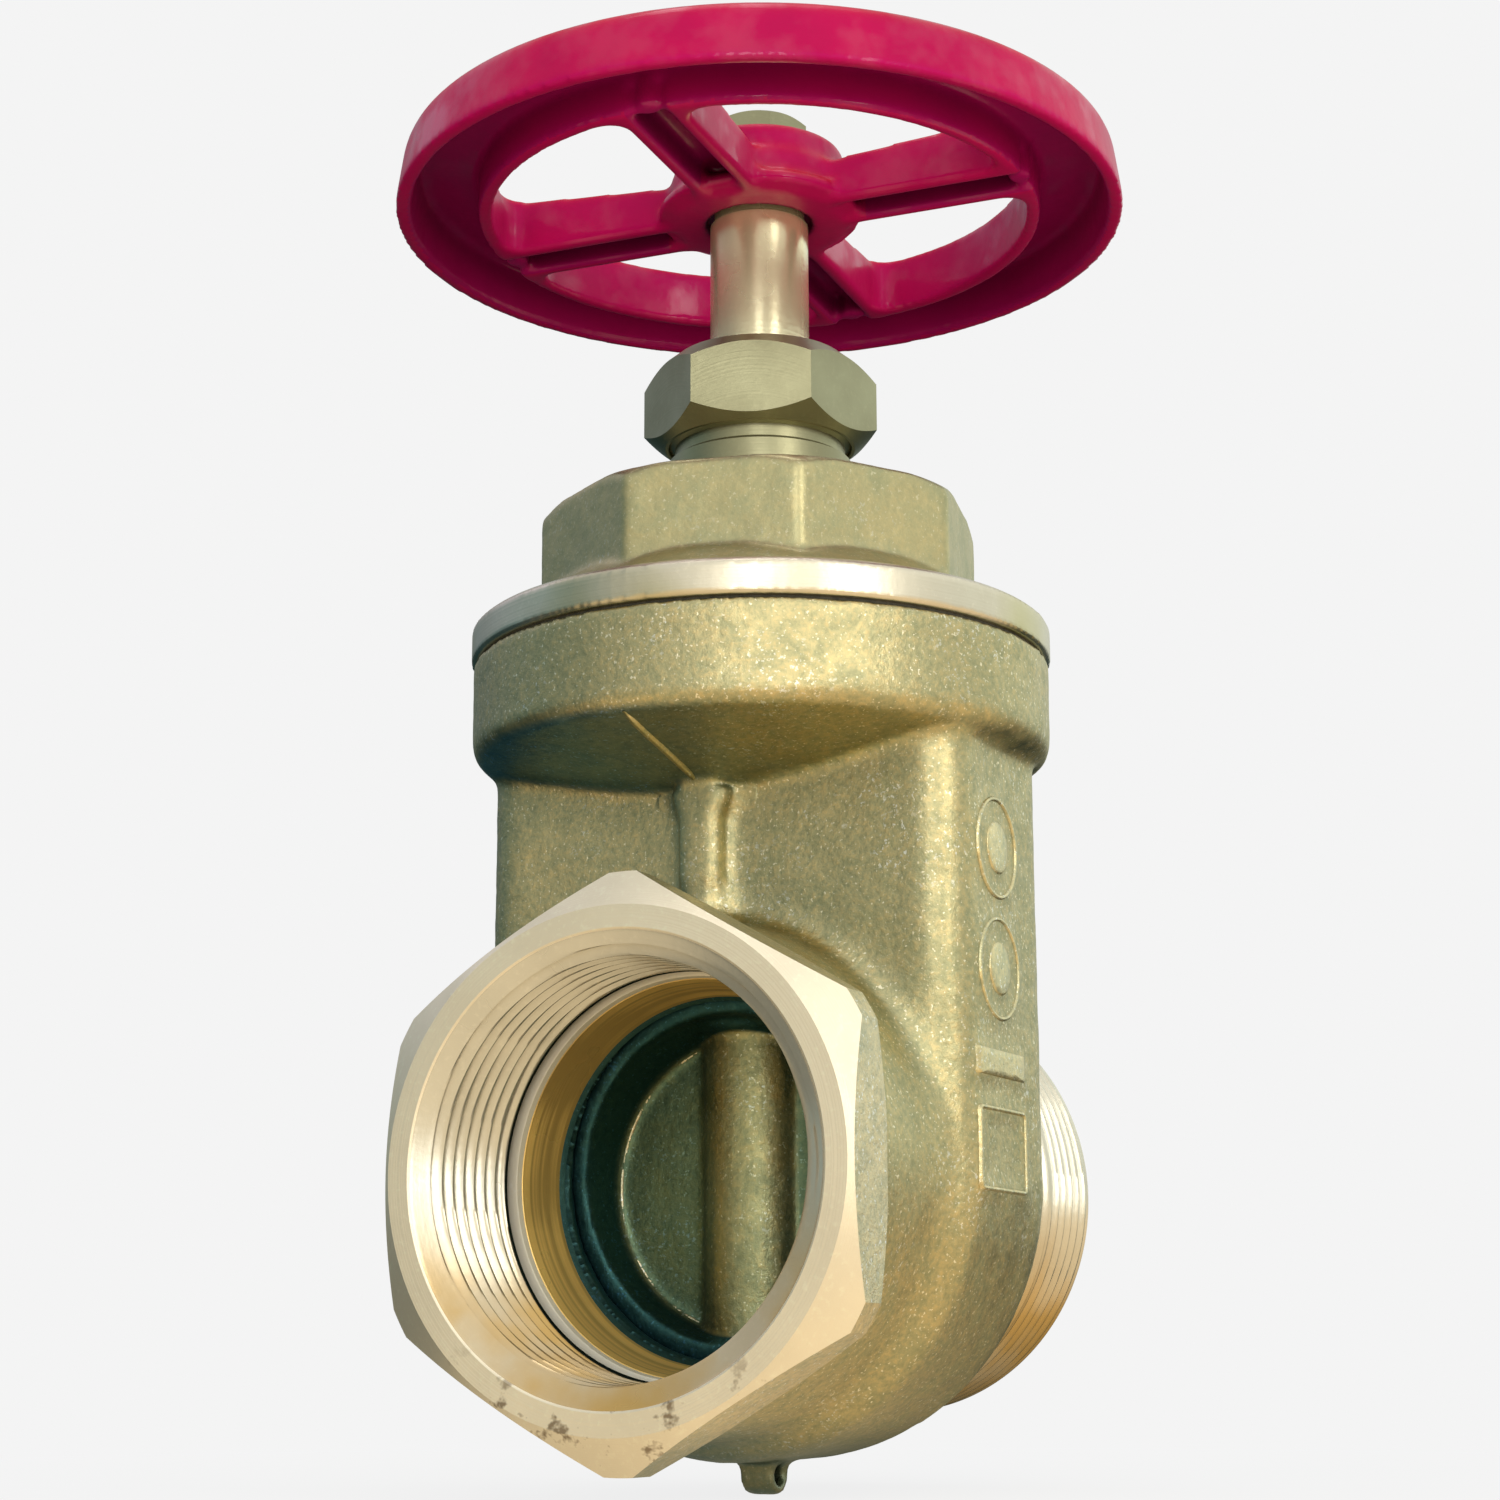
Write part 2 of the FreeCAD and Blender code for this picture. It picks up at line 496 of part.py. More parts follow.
def add_lug(body):
    """Lug for the cap's chain under the body, with its hole along X."""
    root = outline(body, "lug_root_outline", "YZ_Plane",
                   box_points("-lug_radius", "lug_radius", "-lug_centre", "-lug_centre + lug_root_height"))
    extrude(body, "lug_root", root, "2 * lug_half_length", side="Symmetric")
    tip = circles(body, "lug_tip_outline", "YZ_Plane", [("0", "-lug_centre", "lug_radius")])
    extrude(body, "lug_tip", tip, "2 * lug_half_length", side="Symmetric")
    hole = circles(body, "lug_hole_outline", "YZ_Plane", [("0", "-lug_centre", "lug_hole")])
    extrude(body, "lug_hole_cut", hole, "4 * lug_half_length", side="Symmetric", cut=True)


def add_marks(body):
    """Plain raised marks on the +X side: two rings, a bar and a frame."""
    depth = "slab_half_width - mark_height"
    for name, height in (("upper_ring", "mark_upper"), ("lower_ring", "mark_lower")):
        rounds = [("mark_place", height, "mark_ring"), ("mark_place", height, "mark_ring - mark_line")]
        extrude(body, name, circles(body, name + "_outline", "YZ_Plane", rounds, depth), "2 * mark_height")
        dot = circles(body, name + "_dot_outline", "YZ_Plane", [("mark_place", height, "mark_dot")], depth)
        extrude(body, name + "_dot", dot, "2 * mark_height")
    left, right = "mark_place - mark_frame_half_width", "mark_place + mark_frame_half_width"
    bar = outline(body, "bar_outline", "YZ_Plane",
                  box_points(left, right, "mark_bar_bottom", "mark_bar_top"), depth)
    extrude(body, "bar", bar, "2 * mark_height")
    frame = new_sketch(body, "frame_outline", "YZ_Plane", depth)
    for inset in ("0", "mark_line"):
        low = f"mark_frame_centre - mark_frame_half_height + {inset}"
        high = f"mark_frame_centre + mark_frame_half_height - {inset}"
        add_outline(frame, box_points(f"{left} + {inset}", f"{right} - {inset}", low, high))
    extrude(body, "frame", frame, "2 * mark_height")


def cut_body_inside(body):
    """Wedge chamber, seats, guides, both pipe bores and the bonnet's bore."""
    chamber = u_outline(body, "chamber_outline", "chamber_half_width", "collar_top")
    extrude(body, "chamber", chamber, "2 * chamber_half_depth", side="Symmetric", cut=True)
    lands = circles(body, "seat_outline", "XZ_Plane", [("0", "0", "seat_outer")])
    extrude(body, "seat_lands", lands, "2 * chamber_half_depth + overlap", side="Symmetric")
    for name, side in (("inlet_seat", 1), ("outlet_seat", -1)):
        plane = sloped_circle(body, name + "_outline", side, "seat_half_gap", "seat_cut_radius")
        extrude(body, name, plane, "seat_cut", backwards=side < 0, cut=True)
    for name, low, high in (("left_guide", "-chamber_half_width - overlap", "-guide_inner"),
                            ("right_guide", "guide_inner", "chamber_half_width + overlap")):
        rail = outline(body, name + "_outline", "XY_Plane",
                       box_points(low, high, "-guide_half_width", "guide_half_width"), "guide_bottom")
        extrude(body, name, rail, "guide_top - guide_bottom")
    revolve(body, "inlet_bore", [("-inlet_face - overlap", "0"), ("-inlet_face - overlap", "inlet_entry"),
                                 ("-inlet_face", "inlet_entry"),
                                 ("-inlet_face + inlet_entry_depth", "inlet_crest"),
                                 ("-inlet_relief_start", "inlet_crest"),
                                 ("-inlet_relief_start", "inlet_relief"),
                                 ("-inlet_relief_end", "inlet_relief"),
                                 ("-inlet_relief_end", "land_radius"),
                                 ("-chamber_half_depth", "port_entry"),
                                 ("-seat_half_gap - seat_lip", "port_radius"),
                                 ("-bore_end", "port_radius"), ("-bore_end", "0")], about="pipe", cut=True)
    revolve(body, "outlet_bore", [("bore_end", "0"), ("bore_end", "port_radius"),
                                  ("outlet_neck_start", "port_radius"),
                                  ("outlet_end - outlet_flare", "outlet_throat"),
                                  ("outlet_end + overlap", "outlet_mouth"),
                                  ("outlet_end + overlap", "0")], about="pipe", cut=True)
    revolve(body, "bonnet_bore", box_points("0", "collar_bore", "collar_top - collar_bore_depth",
                                            "collar_top + overlap"), cut=True)


def cut_body_threads(body):
    """Thread grooves as parallel rings at the real pitch, inside the inlet and outside the outlet."""
    half = "(inlet_thread_depth + cutter_skin) * thread_flank"
    start = "(-inlet_relief_start - inlet_pitch * first_groove)"
    groove = revolve(body, "inlet_thread", [(f"{start} - {half}", "inlet_crest - cutter_skin"),
                                            (start, "inlet_crest + inlet_thread_depth"),
                                            (f"{start} + {half}", "inlet_crest - cutter_skin")],
                     about="pipe", cut=True)
    row = repeat_along(body, groove, "Y_Axis", "inlet_pitch", "inlet_turns")
    row.Reversed = True
    half = "(outlet_thread_depth + cutter_skin) * thread_flank"
    start = "(outlet_thread_start + outlet_pitch * first_groove)"
    groove = revolve(body, "outlet_thread", [(f"{start} - {half}", "outlet_major + cutter_skin"),
                                             (start, "outlet_major - outlet_thread_depth"),
                                             (f"{start} + {half}", "outlet_major + cutter_skin")],
                     about="pipe", cut=True)
    repeat_along(body, groove, "Y_Axis", "outlet_pitch", "outlet_turns")


def make_valve_body():
    """The cast body with its seats, as one piece."""
    body = new_body("valve_body")
    add_body_outside(body)
    add_lug(body)
    add_marks(body)
    cut_body_inside(body)
    cut_body_threads(body)


# ---------------------------------------------------------------- bonnet and stuffing box
def make_bonnet():
    """Screwed bonnet: threaded skirt, flange, octagon and the floor that carries the stem."""
    body = new_body("bonnet")
    revolve(body, "flange", [("0", "skirt_bottom"), ("collar_bore - thread_gap", "skirt_bottom"),
                             ("collar_bore - thread_gap", "collar_top + gasket_thick"),
                             ("flange_radius", "collar_top + gasket_thick"),
                             ("flange_radius", "flange_edge"),
                             ("flange_radius - flange_bevel", "flange_top"),
                             ("shoulder_foot", "flange_top"),
                             ("shoulder_radius", "shoulder_top"), ("0", "shoulder_top")])
    corners = outline(body, "octagon_outline", "XY_Plane",
                      polygon_points(8, "octagon_corner", "octagon_turn"),
                      "flange_top - overlap")
    extrude(body, "octagon", corners, "octagon_top - flange_top + overlap")
    revolve(body, "octagon_turning", [("octagon_top_radius", "octagon_top"),
                                      ("octagon_corner", "octagon_top - octagon_chamfer"),
                                      ("octagon_corner + turning_room", "octagon_top - octagon_chamfer"),
                                      ("octagon_corner + turning_room", "octagon_top + overlap"),
                                      ("octagon_top_radius", "octagon_top + overlap")], cut=True)
    revolve(body, "bonnet_inside", [("0", "skirt_bottom - overlap"),
                                    ("skirt_bore", "skirt_bottom - overlap"),
                                    ("skirt_bore", "skirt_bore_top"),
                                    ("dome_radius", "flange_top"),
                                    ("dome_radius", "dome_top"),
                                    ("nut_room_radius", "dome_top + dome_cone"),
                                    ("nut_room_radius", "nut_room_top"),
                                    ("stem_journal + stem_gap", "nut_room_top"),
                                    ("stem_journal + stem_gap", "bonnet_floor"),
                                    ("bonnet_thread", "bonnet_floor"),
                                    ("bonnet_thread", "octagon_top + overlap"),
                                    ("0", "octagon_top + overlap")], cut=True)


def make_stuffing_box():
    """Neck that screws into the bonnet, traps the stem's collar and holds the packing."""
    body = new_body("stuffing_box")
    revolve(body, "neck", [("collar_room", "box_spigot_bottom"),
                           ("bonnet_thread - thread_gap", "box_spigot_bottom"),
                           ("bonnet_thread - thread_gap", "octagon_top + box_gasket"),
                           ("neck_radius", "octagon_top + box_gasket"),
                           ("neck_radius", "neck_band_top"),
                           ("neck_relief", "neck_band_top + neck_relief_slope"),
                           ("neck_relief", "neck_relief_top - neck_relief_slope"),
                           ("neck_radius", "neck_relief_top"),
                           ("neck_radius", "neck_top - neck_bevel"),
                           ("neck_radius - neck_bevel", "neck_top"), ("packing_bore", "neck_top"),
                           ("packing_bore", "packing_floor"), ("stem_radius + stem_gap", "packing_floor"),
                           ("stem_radius + stem_gap", "collar_room_top"),
                           ("collar_room", "collar_room_top")])
    start = "(neck_relief_top + neck_thread_start)"
    groove = revolve(body, "neck_thread", [("neck_radius + cutter_skin", f"{start} - neck_groove_half"),
                                           ("neck_radius - neck_thread_depth", start),
                                           ("neck_radius + cutter_skin", f"{start} + neck_groove_half")],
                     cut=True)
    repeat_along(body, groove, "Z_Axis", "neck_pitch", "neck_turns")


def make_packing_nut():
    """Hexagon nut that presses the gland on to the packing."""
    body = new_body("packing_nut")
    corners = outline(body, "nut_outline", "XY_Plane", polygon_points(6, "nut_corner", "nut_turn"),
                      "nut_bottom")
    extrude(body, "nut_prism", corners, "nut_top - nut_bottom")
    revolve(body, "nut_upper_turning", [("nut_face_radius", "nut_top"), ("nut_corner", "nut_upper_edge"),
                                        ("nut_corner + turning_room", "nut_upper_edge"),
                                        ("nut_corner + turning_room", "nut_top + overlap"),
                                        ("nut_face_radius", "nut_top + overlap")], cut=True)
    revolve(body, "nut_lower_turning", [("nut_foot_radius", "nut_bottom"), ("nut_corner", "nut_lower_edge"),
                                        ("nut_corner + turning_room", "nut_lower_edge"),
                                        ("nut_corner + turning_room", "nut_bottom - overlap"),
                                        ("nut_foot_radius", "nut_bottom - overlap")], cut=True)
    revolve(body, "nut_bore", [("0", "nut_bottom - overlap"),
                               ("neck_radius + thread_gap", "nut_bottom - overlap"),
                               ("neck_radius + thread_gap", "nut_web"), ("nut_hole", "nut_web"),
                               ("nut_hole", "nut_top + overlap"), ("0", "nut_top + overlap")], cut=True)


def make_seals():
    """Gaskets, packing, its support washer and the gland, all rings round the stem."""
    stem_hole, packing_outer = "stem_radius + stem_gap", "packing_bore - thread_gap"
    ring(new_body("bonnet_gasket"), "bonnet_gasket_ring", "collar_bore + gasket_gap", "gasket_outer",
         "collar_top", "collar_top + gasket_thick")
    ring(new_body("stuffing_box_gasket"), "box_gasket_ring", "bonnet_thread + gasket_gap",
         "neck_radius - gasket_gap", "octagon_top", "octagon_top + box_gasket")
    ring(new_body("packing_washer"), "packing_washer_ring", stem_hole, packing_outer,
         "packing_floor", "packing_floor + packing_washer_thick")
    for place, name in enumerate(("packing_ring_lower", "packing_ring_middle", "packing_ring_upper")):
        low = f"packing_floor + packing_washer_thick + packing_height * {place}"
        ring(new_body(name), name + "_ring", "stem_radius + packing_gap", packing_outer, low,
             low + " + packing_height")
    low = "packing_floor + packing_washer_thick + packing_height * 3"
    revolve(new_body("packing_gland"), "gland_profile",
            [(stem_hole, low), (packing_outer, low), (packing_outer, "nut_web - 2 * gland_step"),
             (packing_outer + " - gland_step", "nut_web - gland_step"),
             (packing_outer + " - gland_step", "nut_web"), (stem_hole, "nut_web")])


# ---------------------------------------------------------------- stem and its washers
def make_stem():
    """Polished stem: left-hand thread, thrust collar, square drive and threaded end."""
    body = new_body("stem")
    revolve(body, "stem_profile", [("0", "stem_tip"), ("stem_thread - stem_tip_bevel", "stem_tip"),
                                   ("stem_thread", "stem_tip + stem_tip_bevel"),
                                   ("stem_thread", "stem_thread_top"),
                                   ("stem_relief", "stem_thread_top + stem_step"),
                                   ("stem_relief", "stem_thread_top + 2 * stem_step"),
                                   ("stem_journal", "stem_thread_top + 3 * stem_step"),
                                   ("stem_journal", "bonnet_floor + thrust_washer"),
                                   ("stem_collar", "bonnet_floor + thrust_washer"),
                                   ("stem_collar", "collar_room_top - thrust_washer"),
                                   ("stem_radius", "collar_room_top - thrust_washer"),
                                   ("stem_radius", "stem_lip"),
                                   ("stem_lip_radius", "stem_lip + stem_lip_edge"),
                                   ("stem_lip_radius", "stem_shoulder"),
                                   ("0", "stem_shoulder")])
    square = outline(body, "square_drive_outline", "XY_Plane",
                     box_points("-square_half", "square_half", "-square_half", "square_half"),
                     "stem_shoulder - overlap")
    extrude(body, "square_drive", square, "square_top - stem_shoulder + overlap")
    revolve(body, "threaded_end", [("0", "square_top - overlap"),
                                   ("stem_end_radius", "square_top - overlap"),
                                   ("stem_end_radius", "stem_end - stem_end_bevel"),
                                   ("stem_end_radius - stem_end_bevel", "stem_end"),
                                   ("0", "stem_end")])
    start = "(stem_tip + stem_first_groove)"
    root, crest = "stem_thread - stem_thread_depth", "stem_thread + cutter_skin"
    groove = revolve(body, "stem_thread_groove", [(crest, f"{start} - stem_lead * stem_groove_mouth"),
                                                  (root, f"{start} - stem_lead * stem_groove_root"),
                                                  (root, f"{start} + stem_lead * stem_groove_root"),
                                                  (crest, f"{start} + stem_lead * stem_groove_mouth")],
                     cut=True)
    repeat_along(body, groove, "Z_Axis", "stem_lead", "stem_turns")


def make_thrust_washers():
    """Washers on both sides of the stem's collar."""
    ring(new_body("lower_thrust_washer"), "lower_washer_ring", "stem_journal + stem_gap", "stem_collar",
         "bonnet_floor", "bonnet_floor + thrust_washer")
    ring(new_body("upper_thrust_washer"), "upper_washer_ring", "stem_radius + stem_gap", "stem_collar",
         "collar_room_top - thrust_washer", "collar_room_top")


# ---------------------------------------------------------------- wedge
def make_wedge():
    """Solid wedge: tapered disc with a recess on each side, guide ears and the threaded boss."""
    body = new_body("wedge")
    disc = circles(body, "disc_outline", "XZ_Plane", [("0", "0", "wedge_radius")])
    extrude(body, "disc", disc, "2 * chamber_half_depth", side="Symmetric")
    trim_wedge_faces(body)
    for name, sign in (("inlet_recess", "-"), ("outlet_recess", "")):
        revolve(body, name, [(f"{sign}wedge_web", "0"), (f"{sign}wedge_web", "recess_floor"),
                             (f"{sign}seat_half_gap", "recess_mouth"),
                             (f"{sign}(chamber_half_depth + overlap)", "recess_mouth"),
                             (f"{sign}(chamber_half_depth + overlap)", "0")], about="pipe", cut=True)
    for name, low, high in (("left_ear", "-wedge_ear", "-wedge_ear_inner"),
                            ("right_ear", "wedge_ear_inner", "wedge_ear")):
        ear = outline(body, name + "_outline", "XZ_Plane", box_points(low, high, "0", "wedge_ear_top"))
        extrude(body, name, ear, "2 * wedge_ear_half_depth", side="Symmetric")
    revolve(body, "tube", box_points("0", "wedge_tube", "wedge_tube_bottom", "wedge_nut_bottom"))
    revolve(body, "threaded_boss", box_points("0", "wedge_nut_radius", "wedge_nut_root", "wedge_nut_top"))
    for name, low, high in (("left_slot", "-wedge_ear - overlap", "-wedge_slot_inner"),
                            ("right_slot", "wedge_slot_inner", "wedge_ear + overlap")):
        slot = outline(body, name + "_outline", "XY_Plane",
                       box_points(low, high, "-wedge_slot_half_width", "wedge_slot_half_width"),
                       "-wedge_radius")
        extrude(body, name, slot, "wedge_radius + wedge_ear_top + overlap", backwards=True, cut=True)
    revolve(body, "stem_bore", [("0", "-wedge_radius - overlap"),
                                ("wedge_tube_bore", "-wedge_radius - overlap"),
                                ("wedge_tube_bore", "wedge_nut_bottom"),
                                ("stem_thread + thread_gap", "wedge_nut_bottom"),
                                ("stem_thread + thread_gap", "wedge_nut_top + overlap"),
                                ("0", "wedge_nut_top + overlap")], cut=True)


def trim_wedge_faces(body):
    """Plane both faces of the wedge to the seats' slope, just clear of them."""
    for name, side in (("inlet_facing", 1), ("outlet_facing", -1)):
        plane = sloped_circle(body, name + "_outline", side, "seat_half_gap - wedge_gap", "facing_radius")
        extrude(body, name, plane, "chamber_half_depth", backwards=side > 0, cut=True)


# ---------------------------------------------------------------- handwheel
def opening_outline(body):
    """One opening between two spokes that lie on +X and +Y."""
    sketch = new_sketch(body, "opening_outline", "XY_Plane", "wheel_bottom - overlap")
    w, inner, outer = number("spoke_half_width"), number("opening_inner"), number("opening_outer")
    turn_in, turn_out = math.asin(w / inner), math.asin(w / outer)
    up, centre = FreeCAD.Vector(0, 0, 1), FreeCAD.Vector(0, 0, 0)

    def spot(radius, angle):
        return FreeCAD.Vector(radius * math.cos(angle), radius * math.sin(angle), 0)

    quarter = math.pi / 2
    sketch.addGeometry(Part.LineSegment(spot(inner, turn_in), spot(outer, turn_out)), False)
    sketch.addGeometry(Part.ArcOfCircle(Part.Circle(centre, up, outer), turn_out, quarter - turn_out),
                       False)
    sketch.addGeometry(Part.LineSegment(spot(outer, quarter - turn_out), spot(inner, quarter - turn_in)),
                       False)
    sketch.addGeometry(Part.ArcOfCircle(Part.Circle(centre, up, inner), turn_in, quarter - turn_in), False)
    for one, one_end, other, other_end in ((0, 2, 1, 1), (1, 2, 2, 1), (2, 2, 3, 2), (3, 1, 0, 1)):
        sketch.addConstraint(Sketcher.Constraint("Coincident", one, one_end, other, other_end))
    for arc, radius in ((1, "opening_outer"), (3, "opening_inner")):
        sketch.addConstraint(Sketcher.Constraint("Coincident", arc, 3, -1, 1))
        size = sketch.addConstraint(Sketcher.Constraint("Radius", arc, number(radius)))
        sketch.setExpression("Constraints[%d]" % size, bound(radius))
    sketch.addConstraint(Sketcher.Constraint("Horizontal", 0))
    sketch.addConstraint(Sketcher.Constraint("Vertical", 2))
    for kind, line in (("DistanceY", 0), ("DistanceX", 2)):
        size = sketch.addConstraint(Sketcher.Constraint(kind, -1, 1, line, 1, w))
        sketch.setExpression("Constraints[%d]" % size, bound("spoke_half_width"))
    return sketch


def make_handwheel():
    """Hollow-backed handwheel: drafted rim, channel spokes and hub with a square hole."""
    body = new_body("handwheel")
    spokes = int(number("spoke_count"))
    channel_top = "wheel_top - wheel_wall"
    revolve(body, "wheel_blank", [("0", "wheel_bottom"), ("wheel_radius", "wheel_bottom"),
                                  ("wheel_top_radius", "rim_crown"), ("rim_crown_inner", "rim_crown"),
                                  ("opening_inner", "wheel_top"), ("0", "wheel_top")])
    round_edges(body, "rim_top_edge", "wheel_edge",
                lambda e: isinstance(e.Curve, Part.Circle) and at(e.Curve.Radius, "wheel_top_radius"))
    opening = extrude(body, "opening", opening_outline(body), "rim_crown - wheel_bottom + 2 * overlap",
                      backwards=True, cut=True)
    repeat_round(body, opening, spokes)
    round_edges(body, "opening_corners", "opening_corner",
                lambda e: isinstance(e.Curve, Part.Line) and abs(e.tangentAt(e.FirstParameter).z) > 0.99
                and math.hypot(e.Vertexes[0].X, e.Vertexes[0].Y) < number("opening_outer") + 0.1)
    wall = "wheel_wall"
    revolve(body, "rim_channel", [(f"opening_outer + {wall}", "wheel_bottom - overlap"),
                                  (f"wheel_radius - {wall}", "wheel_bottom - overlap"),
                                  (f"wheel_top_radius - {wall}", f"rim_crown - {wall}"),
                                  ("rim_crown_inner", f"rim_crown - {wall}"),
                                  (f"opening_outer + {wall}", f"rim_inner_top - {wall}")], cut=True)
    hollow = outline(body, "spoke_channel_outline", "XY_Plane",
                     box_points("hub_radius", f"opening_outer + {wall} + overlap",
                                f"-spoke_half_width + {wall}", f"spoke_half_width - {wall}"),
                     channel_top)
    channel = extrude(body, "spoke_channel", hollow, "wheel_top - wheel_bottom", cut=True)
    repeat_round(body, channel, spokes)
    pillar_foot = circles(body, "pillar_outline", "XY_Plane", [("pillar_place", "0", "pillar_radius")],
                          "wheel_bottom + pillar_inset")
    pillar = extrude(body, "pillar", pillar_foot, "wheel_top - wheel_bottom - pillar_inset - overlap")
    repeat_round(body, pillar, spokes)
    revolve(body, "hub", [("0", "hub_bottom"), ("hub_disc_radius", "hub_bottom"),
                          ("hub_disc_radius", "hub_disc_top"),
                          ("hub_radius", "hub_disc_top"), ("hub_radius", "hub_top - hub_bevel"),
                          ("hub_radius - hub_bevel", "hub_top"), ("0", "hub_top")])
    revolve(body, "hub_recess", box_points("0", "hub_counterbore", "hub_bottom - overlap",
                                           "stem_shoulder"), cut=True)
    square = outline(body, "square_hole_outline", "XY_Plane",
                     polygon_points(4, "(square_half + thread_gap) * sqrt(2)", "45 - spoke_turn"),
                     "hub_bottom - overlap")
    extrude(body, "square_hole", square, "hub_top - hub_bottom + 2 * overlap", backwards=True, cut=True)
    body.Placement = FreeCAD.Placement(FreeCAD.Vector(0, 0, number(PIPE_HEIGHT)),
                                       FreeCAD.Vector(0, 0, 1), number("spoke_turn"))
    body.setExpression("Placement.Rotation.Angle", bound("spoke_turn"))


def make_wheel_fasteners():
    """Washer and hexagon nut that hold the handwheel."""
    ring(new_body("handwheel_washer"), "wheel_washer_ring", "stem_end_radius + fastener_gap",
         "fastener_washer_radius", "hub_top", "hub_top + fastener_washer")
    body = new_body("handwheel_nut")
    bottom = "hub_top + fastener_washer"
    top = bottom + " + fastener_height"
    corners = outline(body, "wheel_nut_outline", "XY_Plane",
                      polygon_points(6, "fastener_corner", "fastener_turn"), bottom)
    extrude(body, "wheel_nut_prism", corners, "fastener_height")
    revolve(body, "wheel_nut_turning", [("fastener_corner - fastener_bevel_width", top),
                                        ("fastener_corner", top + " - fastener_bevel_height"),
                                        ("fastener_corner + overlap", top + " - fastener_bevel_height"),
                                        ("fastener_corner + overlap", top + " + overlap"),
                                        ("fastener_corner - fastener_bevel_width", top + " + overlap")],
            cut=True)
    hole = circles(body, "wheel_nut_hole_outline", "XY_Plane",
                   [("0", "0", "stem_end_radius + thread_gap")], bottom + " - overlap")
    extrude(body, "wheel_nut_hole", hole, "fastener_height + 2 * overlap", backwards=True, cut=True)


def check_document():
    """Stop on a failed object or a piece that is not one valid solid."""
    for item in doc.Objects:
        if {"Invalid", "Error"} & set(item.State):
            raise RuntimeError("%s failed: %s" % (item.Name, item.State))
    for body in BODIES:
        shape = body.Shape
        if shape.isNull() or not shape.isValid() or len(shape.Solids) != 1:
            raise RuntimeError("%s is not one valid solid" % body.Label)


make_valve_body()
make_bonnet()
make_stuffing_box()
make_packing_nut()
make_seals()
make_stem()
make_thrust_washers()
make_wedge()
make_handwheel()
make_wheel_fasteners()
doc.recompute()
check_document()

os.makedirs("parts", exist_ok=True)
for piece in BODIES:
    piece.Shape.exportStep("parts/%s.step" % piece.Label)
    print("%-22s %10.1f mm3" % (piece.Label, piece.Shape.Volume))
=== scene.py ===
"""Gate valve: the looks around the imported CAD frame.

Points are handled in millimetres, with heights measured from the pipe's axis, until they become vertices.
"""

import math

import bpy
import numpy as np
from mathutils import Matrix, Vector, noise


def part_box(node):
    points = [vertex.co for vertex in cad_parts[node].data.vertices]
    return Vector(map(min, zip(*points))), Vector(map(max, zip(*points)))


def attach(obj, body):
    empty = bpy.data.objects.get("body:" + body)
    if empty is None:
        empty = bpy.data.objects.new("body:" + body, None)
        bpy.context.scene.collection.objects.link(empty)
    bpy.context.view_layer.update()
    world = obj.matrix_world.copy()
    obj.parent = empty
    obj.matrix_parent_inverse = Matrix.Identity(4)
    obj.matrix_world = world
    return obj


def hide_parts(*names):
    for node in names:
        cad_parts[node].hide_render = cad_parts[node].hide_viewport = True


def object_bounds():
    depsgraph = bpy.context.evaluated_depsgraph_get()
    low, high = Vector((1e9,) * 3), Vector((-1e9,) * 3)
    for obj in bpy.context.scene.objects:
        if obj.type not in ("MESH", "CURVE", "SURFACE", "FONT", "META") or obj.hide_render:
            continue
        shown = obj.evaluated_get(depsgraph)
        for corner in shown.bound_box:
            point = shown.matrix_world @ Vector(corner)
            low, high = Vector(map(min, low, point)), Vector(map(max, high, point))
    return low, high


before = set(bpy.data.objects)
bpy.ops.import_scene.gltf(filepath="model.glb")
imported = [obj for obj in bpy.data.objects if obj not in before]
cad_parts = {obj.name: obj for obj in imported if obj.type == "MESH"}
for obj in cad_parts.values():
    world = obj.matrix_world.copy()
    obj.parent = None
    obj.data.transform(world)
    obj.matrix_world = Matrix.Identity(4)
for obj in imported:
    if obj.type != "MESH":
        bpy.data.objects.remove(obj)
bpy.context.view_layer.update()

MM = 0.001
SCENE = bpy.context.scene
WEDGE_RADIUS = 36.0
PIPE_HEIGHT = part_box("wedge")[0][2] / MM + WEDGE_RADIUS
LIFT = np.array([0.0, 0.0, PIPE_HEIGHT])


